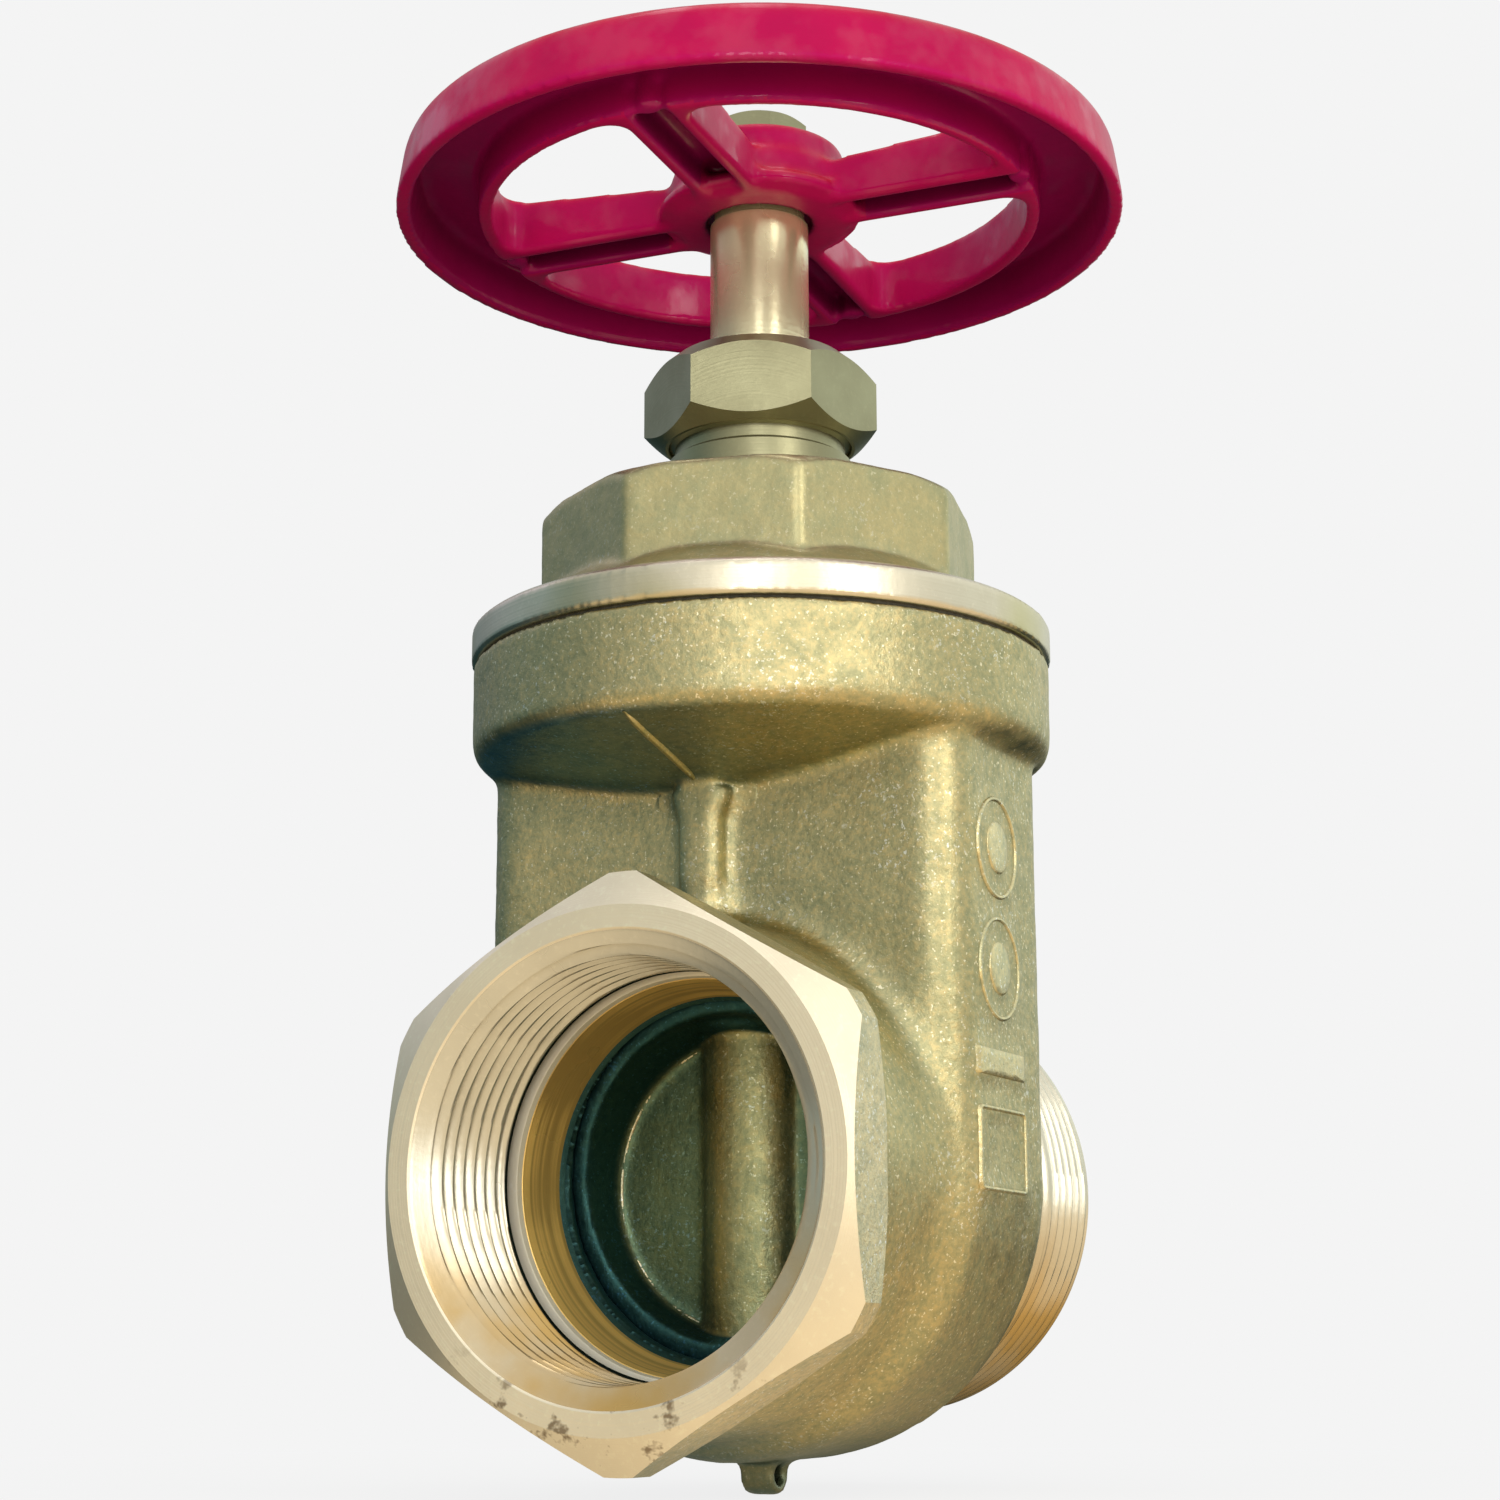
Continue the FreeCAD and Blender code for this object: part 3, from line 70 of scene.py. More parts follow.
# ---------------------------------------------------------------- node graphs
class Graph:
    """A short way to write a node tree."""

    def __init__(self, tree):
        self.tree = tree
        tree.nodes.clear()

    def add(self, kind, inputs=None, **settings):
        """Make a node, set its properties, and fill its inputs with values or links."""
        node = self.tree.nodes.new(kind)
        for key, value in settings.items():
            setattr(node, key, value)
        for key, value in (inputs or {}).items():
            if isinstance(value, bpy.types.NodeSocket):
                self.tree.links.new(value, node.inputs[key])
            else:
                node.inputs[key].default_value = value
        return node

    def link(self, output, socket):
        self.tree.links.new(output, socket)

    def math(self, operation, a, b=0.0, clamp=False):
        return self.add("ShaderNodeMath", {0: a, 1: b}, operation=operation, use_clamp=clamp).outputs[0]

    def span(self, value, low, high, to_low=0.0, to_high=1.0):
        """Map a value's range to another, with both ends held."""
        node = self.add("ShaderNodeMapRange", {"Value": value, "From Min": low, "From Max": high,
                                               "To Min": to_low, "To Max": to_high})
        return node.outputs[0]

    def blend(self, factor, first, second, mode="MIX"):
        """Mix two colours."""
        node = self.add("ShaderNodeMix", data_type="RGBA", blend_type=mode)
        for index, value in ((0, factor), (6, first), (7, second)):
            if isinstance(value, bpy.types.NodeSocket):
                self.link(value, node.inputs[index])
            else:
                node.inputs[index].default_value = value
        return node.outputs[2]

    def noise(self, where, scale, detail=2.0, roughness=0.5):
        """Noise whose scale is in waves for each metre."""
        node = self.add("ShaderNodeTexNoise", {"Vector": where, "Scale": scale, "Detail": detail,
                                               "Roughness": roughness})
        return node.outputs["Fac"]

    def bump(self, height, distance, strength=1.0, normal=None):
        inputs = {"Height": height, "Distance": distance, "Strength": strength}
        if normal is not None:
            inputs["Normal"] = normal
        return self.add("ShaderNodeBump", inputs).outputs[0]


def new_material(name):
    material = bpy.data.materials.new(name)
    material.use_nodes = True
    return material, Graph(material.node_tree)


def colour(r, g, b):
    return (r, g, b, 1.0)


def place(graph):
    """Object coordinates: the row frame, in metres, for every piece that sits at the origin."""
    return graph.add("ShaderNodeTexCoord").outputs["Object"]


def finish_material(graph, **inputs):
    shader = graph.add("ShaderNodeBsdfPrincipled", {key.replace("_", " "): v for key, v in inputs.items()})
    graph.add("ShaderNodeOutputMaterial", {"Surface": shader.outputs[0]})


def cast_brass_material(name, tone=(1.0, 1.0, 1.0), rough=(0.34, 0.50), grit=0.8):
    """Sand-cast brass: mottled olive gold, a sandy grain whose strength is grit, bright worn specks, and
    painted shade in its hollows.
    """
    material, g = new_material(name)
    where = place(g)

    def shade(*base):
        return colour(*(min(1.0, c * t) for c, t in zip(base, tone)))

    cloud = g.noise(where, 38.0, 3.0)
    patch = g.noise(where, 190.0, 4.0, 0.6)
    grain = g.noise(where, 820.0, 4.0, 0.7)
    speck = g.noise(where, 1700.0, 1.0)
    base = g.blend(g.span(cloud, 0.35, 0.65), shade(0.45, 0.41, 0.23), shade(0.55, 0.47, 0.25))
    base = g.blend(g.span(patch, 0.42, 0.66, 0.0, 0.6), base, shade(0.37, 0.38, 0.23))
    base = g.blend(g.span(grain, 0.50, 0.70, 0.0, 0.60 * grit), base, shade(0.78, 0.58, 0.27))
    base = g.blend(g.span(grain, 0.50, 0.34, 0.0, 0.60 * grit), base, shade(0.25, 0.27, 0.16))
    base = g.blend(g.span(speck, 0.65, 0.74, 0.0, grit), base, shade(0.98, 0.90, 0.68))
    cluster = g.span(g.noise(where, 75.0, 2.0), 0.52, 0.66, 0.0, grit)
    flake = g.span(g.noise(where, 1050.0, 2.0, 0.7), 0.60, 0.68)
    base = g.blend(g.math("MULTIPLY", cluster, flake), base, shade(0.86, 0.86, 0.80))
    # Painted shade: ambient occlusion darkens the brass to dark teal in hollows, creases and corners.
    ao_painted_shade = g.add("ShaderNodeAmbientOcclusion", {"Distance": 0.014}, samples=6).outputs["AO"]
    base = g.blend(g.span(ao_painted_shade, 0.30, 0.80, 0.66, 0.0), base, shade(0.055, 0.12, 0.11))
    normal = g.bump(patch, 0.0004, 0.4)
    normal = g.bump(grain, 0.0003, 0.55 * grit, normal)
    finish_material(g, Base_Color=base, Metallic=1.0, Roughness=g.span(patch, 0.3, 0.7, *rough),
                    Normal=normal)
    return material


def turned_brass_material(name, axis, tint=(0.80, 0.66, 0.38), rough=0.24, lines=0.25, metal=1.0,
                          stain=None, stripes=0.0):
    """Turned brass with faint tool lines round an axis: Y for the pipe, Z for the stem.

    A stain is a second tint in large clouds, and in fine stripes along the axis where stripes is above 0.
    """
    material, g = new_material(name)
    where = place(g)
    centred = g.add("ShaderNodeVectorMath", {0: where, 1: tuple(LIFT * MM)}, operation="SUBTRACT").outputs[0]
    parts = g.add("ShaderNodeSeparateXYZ", {0: centred})
    across = [parts.outputs[i] for i in range(3) if i != "XYZ".index(axis)]
    squares = [g.math("MULTIPLY", s, s) for s in across]
    radius = g.math("SQRT", g.math("ADD", squares[0], squares[1]))
    along = g.math("ADD", radius, parts.outputs["XYZ".index(axis)])
    tool = g.add("ShaderNodeTexNoise", {"W": along, "Scale": 2600.0, "Detail": 2.0}, noise_dimensions="1D")
    cloud = g.noise(where, 70.0, 3.0)
    fleck = g.noise(where, 900.0, 3.0, 0.6)
    base = g.blend(g.span(cloud, 0.35, 0.65, 0.0, 0.6), colour(*tint), colour(*(c * 0.80 for c in tint)))
    base = g.blend(g.span(fleck, 0.55, 0.75, 0.0, 0.35), base, colour(*(min(1.0, c * 1.2) for c in tint)))
    if stain:
        wide = g.noise(where, 26.0, 2.0)
        streak = g.add("ShaderNodeTexNoise",
                       {"W": parts.outputs["XYZ".index(axis)], "Scale": 620.0, "Detail": 1.0},
                       noise_dimensions="1D").outputs["Fac"]
        share = g.math("ADD", g.span(wide, 0.48, 0.62), g.span(streak, 0.46, 0.60, 0.0, stripes), clamp=True)
        base = g.blend(share, base, colour(*stain))
    normal = g.bump(tool.outputs["Fac"], 0.00006, lines)
    normal = g.bump(fleck, 0.00008, 0.25, normal)
    finish_material(g, Base_Color=base, Metallic=metal, Normal=normal,
                    Roughness=g.span(cloud, 0.3, 0.7, rough - 0.05, rough + 0.07))
    return material


def enamel_material(name, depth=1.0, lilac=1.0):
    """Glossy crimson enamel over a cast wheel, with slight orange peel and a magenta-tinted gloss; faces that
    look down carry a painted lilac light and hollows a painted shade.
    """
    material, g = new_material(name)
    where = place(g)
    cloud = g.noise(where, 60.0, 3.0)
    peel = g.noise(where, 420.0, 2.0)
    base = g.blend(g.span(cloud, 0.35, 0.65), colour(0.42 * depth, 0.001, 0.024 * lilac),
                   colour(0.52 * depth, 0.002, 0.034 * lilac))
    # Painted light: faces that look down are tinted lilac, as if lit by a purple glow from below.
    upward = g.add("ShaderNodeSeparateXYZ", {0: g.add("ShaderNodeNewGeometry").outputs["Normal"]}).outputs[2]
    base = g.blend(g.span(upward, -0.1, 0.6, 0.55, 0.0), base, colour(0.46 * depth, 0.006, 0.16 * lilac))
    # Painted shade: ambient occlusion darkens the enamel to near black in hollows and channels.
    ao_painted_shade = g.add("ShaderNodeAmbientOcclusion", {"Distance": 0.012}, samples=6).outputs["AO"]
    base = g.blend(g.span(ao_painted_shade, 0.25, 0.75, 0.85, 0.0), base, colour(0.035, 0.001, 0.022))
    gloss = g.span(g.noise(where, 95.0, 3.0, 0.6), 0.46, 0.62, 0.04, 0.55)
    normal = g.bump(peel, 0.00012, 0.5)
    finish_material(g, Base_Color=base, Metallic=0.0, Roughness=0.34, Specular_Tint=colour(0.90, 0.20, 0.75),
                    Specular_IOR_Level=0.18, Coat_Weight=gloss, Coat_Roughness=0.08,
                    Coat_Tint=colour(1.0, 0.80, 0.95), Normal=normal, Coat_Normal=g.bump(peel, 0.00010, 0.35))
    return material


def dull_material(name, low, high, scale, rough, depth):
    """Fibre, graphite and plastic: two mottled shades with a fine relief."""
    material, g = new_material(name)
    grain = g.noise(place(g), scale, 4.0, 0.6)
    base = g.blend(g.span(grain, 0.35, 0.65), colour(*low), colour(*high))
    finish_material(g, Base_Color=base, Roughness=rough, Normal=g.bump(grain, depth, 0.6))
    return material


CAST = cast_brass_material("cast_brass_visual")
# A lighter, bluer copy of the cast brass for the hexagon's flats; on the wedge web's edges it is a painted
# highlight.
CAST_FLATS = cast_brass_material("cast_brass_flats", (1.40, 1.38, 1.66), (0.30, 0.42))
CAST_WORN = cast_brass_material("cast_brass_worn", (1.40, 1.35, 1.40), (0.28, 0.38))
CAST_WEDGE = cast_brass_material("cast_brass_wedge", (0.84, 0.94, 0.92), (0.38, 0.52))
# Painted shade: a dark copy of the cast brass for the roots of the threads.
ROOT_SHADE = cast_brass_material("thread_roots_painted_shade", (0.36, 0.34, 0.30), (0.40, 0.55), grit=0.3)
# Painted shade: an almost black copy for the undercut groove behind the inlet thread.
UNDERCUT_SHADE = cast_brass_material("undercut_painted_shade", (0.03, 0.06, 0.09), (0.50, 0.65), grit=0.2)
CAST_FINE = cast_brass_material("cast_brass_bonnet", (0.98, 0.98, 0.98), (0.36, 0.46), grit=0.3)
# Painted shade: a dark teal copy for the body's chamber and the inlet past the seat opening.
SHADED = cast_brass_material("painted_shade_teal", (0.12, 0.33, 0.58), (0.45, 0.60), grit=0.4)
TURNED_Z = turned_brass_material("turned_brass_stem", "Z", tint=(0.36, 0.34, 0.21), rough=0.36)
POLISHED = turned_brass_material("polished_brass_visual", "Z", tint=(0.92, 0.86, 0.58),
                                 rough=0.24, lines=0.12,
                                 metal=0.72)
BRIGHT = turned_brass_material("bright_flange", "Z", tint=(0.78, 0.70, 0.56), rough=0.32, lines=0.3,
                               stain=(0.52, 0.46, 0.26))
THREAD = turned_brass_material("thread_brass", "Y", tint=(0.72, 0.68, 0.57), rough=0.22, metal=0.66)
GOLD = turned_brass_material("gold_land", "Y", tint=(1.0, 0.66, 0.20), rough=0.30, lines=0.9, metal=0.35,
                             stain=(0.50, 0.33, 0.10), stripes=0.8)
# Painted highlight: a near-white, less metallic brass for the small step in front of the land.
LIP_HIGHLIGHT = turned_brass_material("lip_brass_highlight", "Y", tint=(1.0, 0.93, 0.78), rough=0.45, lines=0.3, metal=0.35)
FACE = turned_brass_material("faced_brass", "Y", tint=(0.92, 0.82, 0.64), rough=0.38, lines=0.4, metal=0.70)


def reopen(material):
    """A finished material's graph, its shader's colour socket and the colour that feeds it."""
    g = Graph.__new__(Graph)
    g.tree = material.node_tree
    socket = next(node for node in g.tree.nodes if node.type == "BSDF_PRINCIPLED").inputs["Base Color"]
    return g, socket, socket.links[0].from_socket


def add_underside_painted_shade(material):
    """A cool, dark painted shade on faces that look down, strongest towards -X."""
    g, socket, base = reopen(material)
    down = g.add("ShaderNodeSeparateXYZ", {0: g.add("ShaderNodeNewGeometry").outputs["Normal"]}).outputs[2]
    x = g.add("ShaderNodeSeparateXYZ", {0: place(g)}).outputs[0]
    share = g.math("MULTIPLY", g.span(down, -0.55, -0.90), g.span(x, 0.018, -0.016, 0.0, 0.9))
    g.link(g.blend(share, base, g.blend(1.0, base, colour(0.30, 0.72, 1.40), "MULTIPLY")), socket)


def add_smudges(material):
    """A few small brown smudges low on the inlet's faced front."""
    g, socket, base = reopen(material)
    where = place(g)
    height = g.math("SUBTRACT", g.add("ShaderNodeSeparateXYZ", {0: where}).outputs[2], PIPE_HEIGHT * MM)
    spot = g.math("MULTIPLY", g.span(g.noise(where, 150.0, 4.0, 0.7), 0.56, 0.64),
                  g.span(height, -0.026, -0.036))
    g.link(g.blend(g.math("MULTIPLY", spot, 0.8), base, colour(0.16, 0.10, 0.05)), socket)


add_underside_painted_shade(CAST)
add_smudges(FACE)


def add_low_painted_tint(material, tint, high, low):
    """Blend a material towards a tint from one height, in metres from the pipe's axis, to a lower one."""
    g, socket, base = reopen(material)
    where = place(g)
    height = g.math("SUBTRACT", g.add("ShaderNodeSeparateXYZ", {0: where}).outputs[2], PIPE_HEIGHT * MM)
    patchy = g.math("MULTIPLY", g.span(height, high, low),
                    g.span(g.noise(where, 60.0, 3.0), 0.35, 0.60, 0.45, 1.0))
    g.link(g.blend(patchy, base, colour(*tint)), socket)


# Painted reflection: the thread's lower part is tinted gold for the warm light it reflects.
add_low_painted_tint(THREAD, (0.62, 0.40, 0.14), -0.002, -0.022)


def paint_wedge_shade(material):
    """Painted shade on the wedge: its web darkened to grey green, its rim and recess walls to almost black,
    and the tube's flanks partly so.
    """
    g, socket, base = reopen(material)
    centred = g.add("ShaderNodeVectorMath", {0: place(g), 1: tuple(LIFT * MM)},
                    operation="SUBTRACT").outputs[0]
    x, y, z = g.add("ShaderNodeSeparateXYZ", {0: centred}).outputs
    squares = [g.math("MULTIPLY", part, part) for part in (x, y, z)]
    from_pipe = g.math("SQRT", g.math("ADD", squares[0], squares[2]))
    from_stem = g.math("SQRT", g.math("ADD", squares[0], squares[1]))
    web = g.math("MULTIPLY", g.span(g.math("ABSOLUTE", y), 0.0053, 0.0061, 1.0, 0.0),
                 g.span(from_stem, 0.0098, 0.0108))
    toned = g.blend(1.0, base, colour(0.36, 0.52, 0.60), "MULTIPLY")
    black = g.blend(1.0, base, colour(0.09, 0.25, 0.46), "MULTIPLY")
    flank = g.math("MULTIPLY", g.span(g.math("ABSOLUTE", x), 0.0066, 0.0094),
                   g.span(g.math("ABSOLUTE", y), 0.0053, 0.0061))
    base = g.blend(g.math("MULTIPLY", flank, 0.75), base, black)
    base = g.blend(web, base, toned)
    base = g.blend(g.span(from_pipe, 0.0254, 0.0259), base, black)
    g.link(base, socket)


paint_wedge_shade(CAST_WEDGE)
ENAMEL = enamel_material("red_enamel_visual")
# Painted shade: a darker, more lilac copy of the enamel for the wheel's channels.
ENAMEL_SHADED = enamel_material("red_enamel_channel_shade", 0.80, 1.2)
FIBRE = dull_material("fibre_visual", (0.025, 0.025, 0.02), (0.06, 0.055, 0.04), 900.0, 0.8, 0.0001)
GRAPHITE = dull_material("graphite_visual", (0.03, 0.03, 0.035), (0.09, 0.09, 0.10), 700.0, 0.45, 0.0002)
WHITE = dull_material("white_bearing_visual", (0.72, 0.71, 0.67), (0.86, 0.85, 0.81), 300.0, 0.4, 0.00005)

NODE_MATERIALS = {
    "stem": POLISHED, "stuffing_box": TURNED_Z, "packing_nut": TURNED_Z, "handwheel_nut": TURNED_Z,
    "handwheel_washer": TURNED_Z, "packing_washer": TURNED_Z, "packing_gland": TURNED_Z,
    "bonnet_gasket": FIBRE, "stuffing_box_gasket": FIBRE, "packing_ring_lower": GRAPHITE,
    "packing_ring_middle": GRAPHITE, "packing_ring_upper": GRAPHITE,
    "lower_thrust_washer": WHITE, "upper_thrust_washer": WHITE,
    "valve_body": CAST, "bonnet": CAST, "wedge": CAST_WEDGE, "handwheel": ENAMEL,
}
for node_name, material in NODE_MATERIALS.items():
    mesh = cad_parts[node_name].data
    mesh.materials.clear()
    mesh.materials.append(material)


# ---------------------------------------------------------------- mesh helpers
def add_object(name, mesh, body, materials, replaced=()):
    """Put a finished mesh in the scene on a body and the CAD nodes that it stands for."""
    piece = bpy.data.objects.new(name, mesh)
    SCENE.collection.objects.link(piece)
    mesh.materials.clear()
    for material in materials:
        mesh.materials.append(material)
    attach(piece, body)
    if replaced:
        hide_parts(*replaced)
    return piece


def get_points(mesh):
    flat = np.zeros(len(mesh.vertices) * 3)
    mesh.vertices.foreach_get("co", flat)
    return flat.reshape(-1, 3) / MM - LIFT


def set_points(mesh, points):
    mesh.vertices.foreach_set("co", ((points + LIFT) * MM).astype(np.float32).ravel())
    mesh.update()


def remeshed(node, voxel, turn=0.0):
    """A voxel-remeshed copy of a CAD node's mesh; turn, in degrees, lines its flats up with the voxels."""
    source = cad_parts[node].data.copy()
    source.transform(Matrix.Rotation(math.radians(-turn), 4, "Z"))
    holder = bpy.data.objects.new("holder", source)
    SCENE.collection.objects.link(holder)
    modifier = holder.modifiers.new("even", "REMESH")
    modifier.mode = "VOXEL"
    modifier.voxel_size = voxel * MM
    modifier.adaptivity = 0.0
    modifier.use_smooth_shade = True
    graph = bpy.context.evaluated_depsgraph_get()
    mesh = bpy.data.meshes.new_from_object(holder.evaluated_get(graph), depsgraph=graph)
    bpy.data.objects.remove(holder)
    bpy.data.meshes.remove(source)
    mesh.transform(Matrix.Rotation(math.radians(turn), 4, "Z"))
    return mesh


def smooth(mesh, points, rounds, weight):
    """Laplacian smoothing with a weight for each point."""
    count = len(points)
    flat = np.zeros(len(mesh.edges) * 2, np.int32)
    mesh.edges.foreach_get("vertices", flat)
    one, other = flat.reshape(-1, 2).T
    ends, others = np.concatenate([one, other]), np.concatenate([other, one])
    valence = np.maximum(np.bincount(ends, minlength=count), 1)
    for _ in range(rounds):
        mean = np.stack([np.bincount(ends, points[others, k], count) / valence for k in range(3)], 1)
        points = points + weight[:, None] * (mean - points)
    return points


def normals_of(mesh):
    flat = np.zeros(len(mesh.vertices) * 3)
    mesh.vertex_normals.foreach_get("vector", flat)
    return flat.reshape(-1, 3)


def ramp(value, low, high):
    """0 below low, 1 above high, and smooth between."""
    t = np.clip((value - low) / (high - low), 0.0, 1.0)
    return t * t * (3.0 - 2.0 * t)


def cast_skin(mesh, points, weight, shift):
    """Sink points along their normals by a lumpy noise, so that a casting isn't perfectly even."""
    set_points(mesh, points)
    normals = normals_of(mesh)
    lumps = np.array([noise.noise(Vector(p) * 0.16 + Vector((shift, 0, 0))) for p in points])
    grain = np.array([noise.noise(Vector(p) * 0.85 + Vector((0, shift, 0))) for p in points])
    depth = 0.10 * (lumps - 0.4) + 0.045 * (grain - 0.5)
    return points + normals * (np.minimum(depth, 0.0) * weight)[:, None]


def grid_mesh(name, rows, closed=True):
    """Join rows of points, each a closed ring of the same length, to a tube or, if closed, a ring of rows."""
    rings, count = len(rows), len(rows[0])
    vertices = (np.concatenate(rows) + LIFT) * MM
    faces = []
    for i in range(rings if closed else rings - 1):
        a, b = i * count, ((i + 1) % rings) * count
        for j in range(count):
            k = (j + 1) % count
            faces.append((a + j, a + k, b + k, b + j))
    mesh = bpy.data.meshes.new(name)
    mesh.from_pydata(vertices.tolist(), [], faces)
    mesh.update()
    return mesh


def ring_about(axis, radius, height, count=256):
    """A ring of points round the Y or Z axis; radius may be one value or one for each point."""
    angle = np.linspace(0.0, 2.0 * math.pi, count, endpoint=False)
    r = radius * np.ones(count)
    if axis == "Z":
        return np.stack([r * np.cos(angle), r * np.sin(angle), height * np.ones(count)], 1)
    return np.stack([r * np.cos(angle), height * np.ones(count), r * np.sin(angle)], 1)


def smooth_by_angle(mesh, degrees):
    """Smooth shading with edges sharper than an angle kept crisp."""
    mesh.polygons.foreach_set("use_smooth", [True] * len(mesh.polygons))
    mesh.set_sharp_from_angle(angle=math.radians(degrees))


# ---------------------------------------------------------------- valve body
BODY_VOXEL = 0.75
INLET_FACE, INLET_BORE_END = 53.5, 18.0
BURIED_BORE = 38.4
BURIED_PORT, SEAT_BACK = 32.4, 15.3
OUTLET_SLEEVE_START, OUTLET_END, OUTLET_REACH = 33.8, 57.4, 45.0
HEX_CORNER, HEX_TURNED, HEX_FACE, HEX_BACK = 48.6, 47.2, 41.2, 41.0
HEX_FRONT_DEPTH, HEX_BACK_BEVEL, HEX_BACK_RADIUS = 3.9, 3.0, 42.5
HIDDEN_RADIUS = 41.0
SIDE_FACE, MARK_PLACE, MARK_HEIGHT = 46.2, -4.0, 0.5
COLLAR_APEX, COLLAR_SLOPE, COLLAR_RADIUS = 60.8, 13.2 / 51.5, 51.5


def make_body_casting():
    """The casting: rounded, lumpy skin from the CAD body, thinned where the turned pieces cover it."""
    mesh = remeshed("valve_body", BODY_VOXEL)
    points = get_points(mesh)
    x, y, z = points.T
    radial = np.hypot(x, z)
    inside = ((radial < 40.0) & (y < -14.0)
              | (np.abs(x) < 40.3) & (np.abs(y) < 17.6) & (z > -40)
              | (radial < 33))
    hexagon = ramp(-y, 40.5, 42.5)
    collar_top = ramp(z, 86.0, 88.0)
    lug = ramp(-z, 45.6, 46.6)
    weight = 0.55 * (1.0 - 0.90 * hexagon) * (1.0 - 0.85 * collar_top) * (1.0 - 0.8 * lug)
    weight[inside] = 0.1
    weight[(np.abs(x) < 6.0) & (y < -21.5) & (y > -27.0) & (z > 40.0) & (z < 66.0)] = 0.1
    points = smooth(mesh, points, 14, weight)
    x, y, z = points.T
    root = ramp(np.hypot(x, z), 39.0, 42.5) * ramp(-np.hypot(x, z), -54.0, -47.0)
    root *= ramp(np.abs(y), 17.0, 20.0) * ramp(-np.abs(y), -29.0, -24.0) * (1.0 - ramp(z, 46.0, 52.0))
    points = smooth(mesh, points, 45, 0.5 * root)
    x, y, z = points.T
    head = (ramp(z, 59.5, 65.0) * (1.0 - ramp(z, 65.2, 66.4))
            * (y < -20.3) * (1.0 - ramp(np.abs(x), 6.5, 10.0)))
    points[:, 0] *= 1.0 + 0.35 * head
    skin = (1.0 - 0.6 * hexagon) * (1.0 - collar_top)
    skin[inside] = 0.3
    points = cast_skin(mesh, points, skin, 3.0)
    x, y, z = points.T
    radial = np.maximum(np.hypot(x, z), 1e-6)
    bore = (radial < 39.6) & (y < -INLET_BORE_END)
    scale = np.where(bore, BURIED_BORE / radial, 1.0)
    port = (radial < 32.4) & (y < -SEAT_BACK) & (y >= -INLET_BORE_END)
    scale = np.where(port, BURIED_PORT / radial, scale)
    sleeve = (y > OUTLET_SLEEVE_START) & (radial < OUTLET_REACH)
    scale = np.where(sleeve, np.clip(radial, 33.2, 35.6) / radial, scale)
    points[:, 0] *= scale
    points[:, 2] *= scale
    points[:, 1] = np.where(sleeve, np.minimum(y, OUTLET_END - 1.5), y)
    hidden = (y < -HEX_BACK - 0.2) & (radial > 39.6) & (radial < HEX_CORNER + 0.5)
    scale = np.where(hidden, np.minimum(1.0, HIDDEN_RADIUS / radial), 1.0)
    points[:, 0] *= scale
    points[:, 2] *= scale
    points[:, 1] = np.maximum(points[:, 1], -INLET_FACE + 0.5)
    set_points(mesh, points)
    mesh.polygons.foreach_set("use_smooth", [True] * len(mesh.polygons))
    piece = add_object("body_casting", mesh, "housing", [CAST, SHADED], ["valve_body"])
    x, y, z = face_places(mesh)
    # Painted shade: faces inside the chamber take the dark teal copy.
    set_finish(mesh, (np.abs(x) < 40.3) & (np.abs(y) < 18.2) & (np.hypot(x, z) < 40.3))
    return piece


def thread_wave(phase, crest_share):
    """Depth of a V thread, 0 on the crest and 1 at the root, for a phase in turns."""
    saw = np.abs(2.0 * (phase - np.floor(phase)) - 1.0)
    return np.clip((1.0 - saw - crest_share) / (1.0 - crest_share), 0.0, 1.0) ** 1.15


def threaded_rows(radius, depth, pitch, start, end, inside, entry=None):
    """Rows of a helical thread about Y, faded out at both ends; entry gives the countersink's radius."""
    count, step = 256, pitch / 14.0
    turn = np.arange(count) / count
    direction = 1.0 if end > start else -1.0
    rows = []
    for i in range(int(abs(end - start) / step) + 1):
        y = start + direction * i * step
        fade = min(1.0, abs(end - y) / (0.6 * pitch))
        if entry is None:
            fade = min(fade, abs(y - start) / (0.6 * pitch))
        wave = thread_wave(y / pitch - turn, 0.12) * depth * fade
        reach = radius + wave if inside else radius - wave
        rows.append(ring_about("Y", reach if entry is None else np.maximum(reach, entry(y)), y))
    return rows


def face_places(mesh):
    """The middle of each face, with heights from the pipe's axis."""
    flat = np.zeros(len(mesh.polygons) * 3)
    mesh.polygons.foreach_get("center", flat)
    return (flat.reshape(-1, 3) / MM - LIFT).T


def set_finish(mesh, indices):
    mesh.polygons.foreach_set("material_index", np.asarray(indices).astype(np.int32))


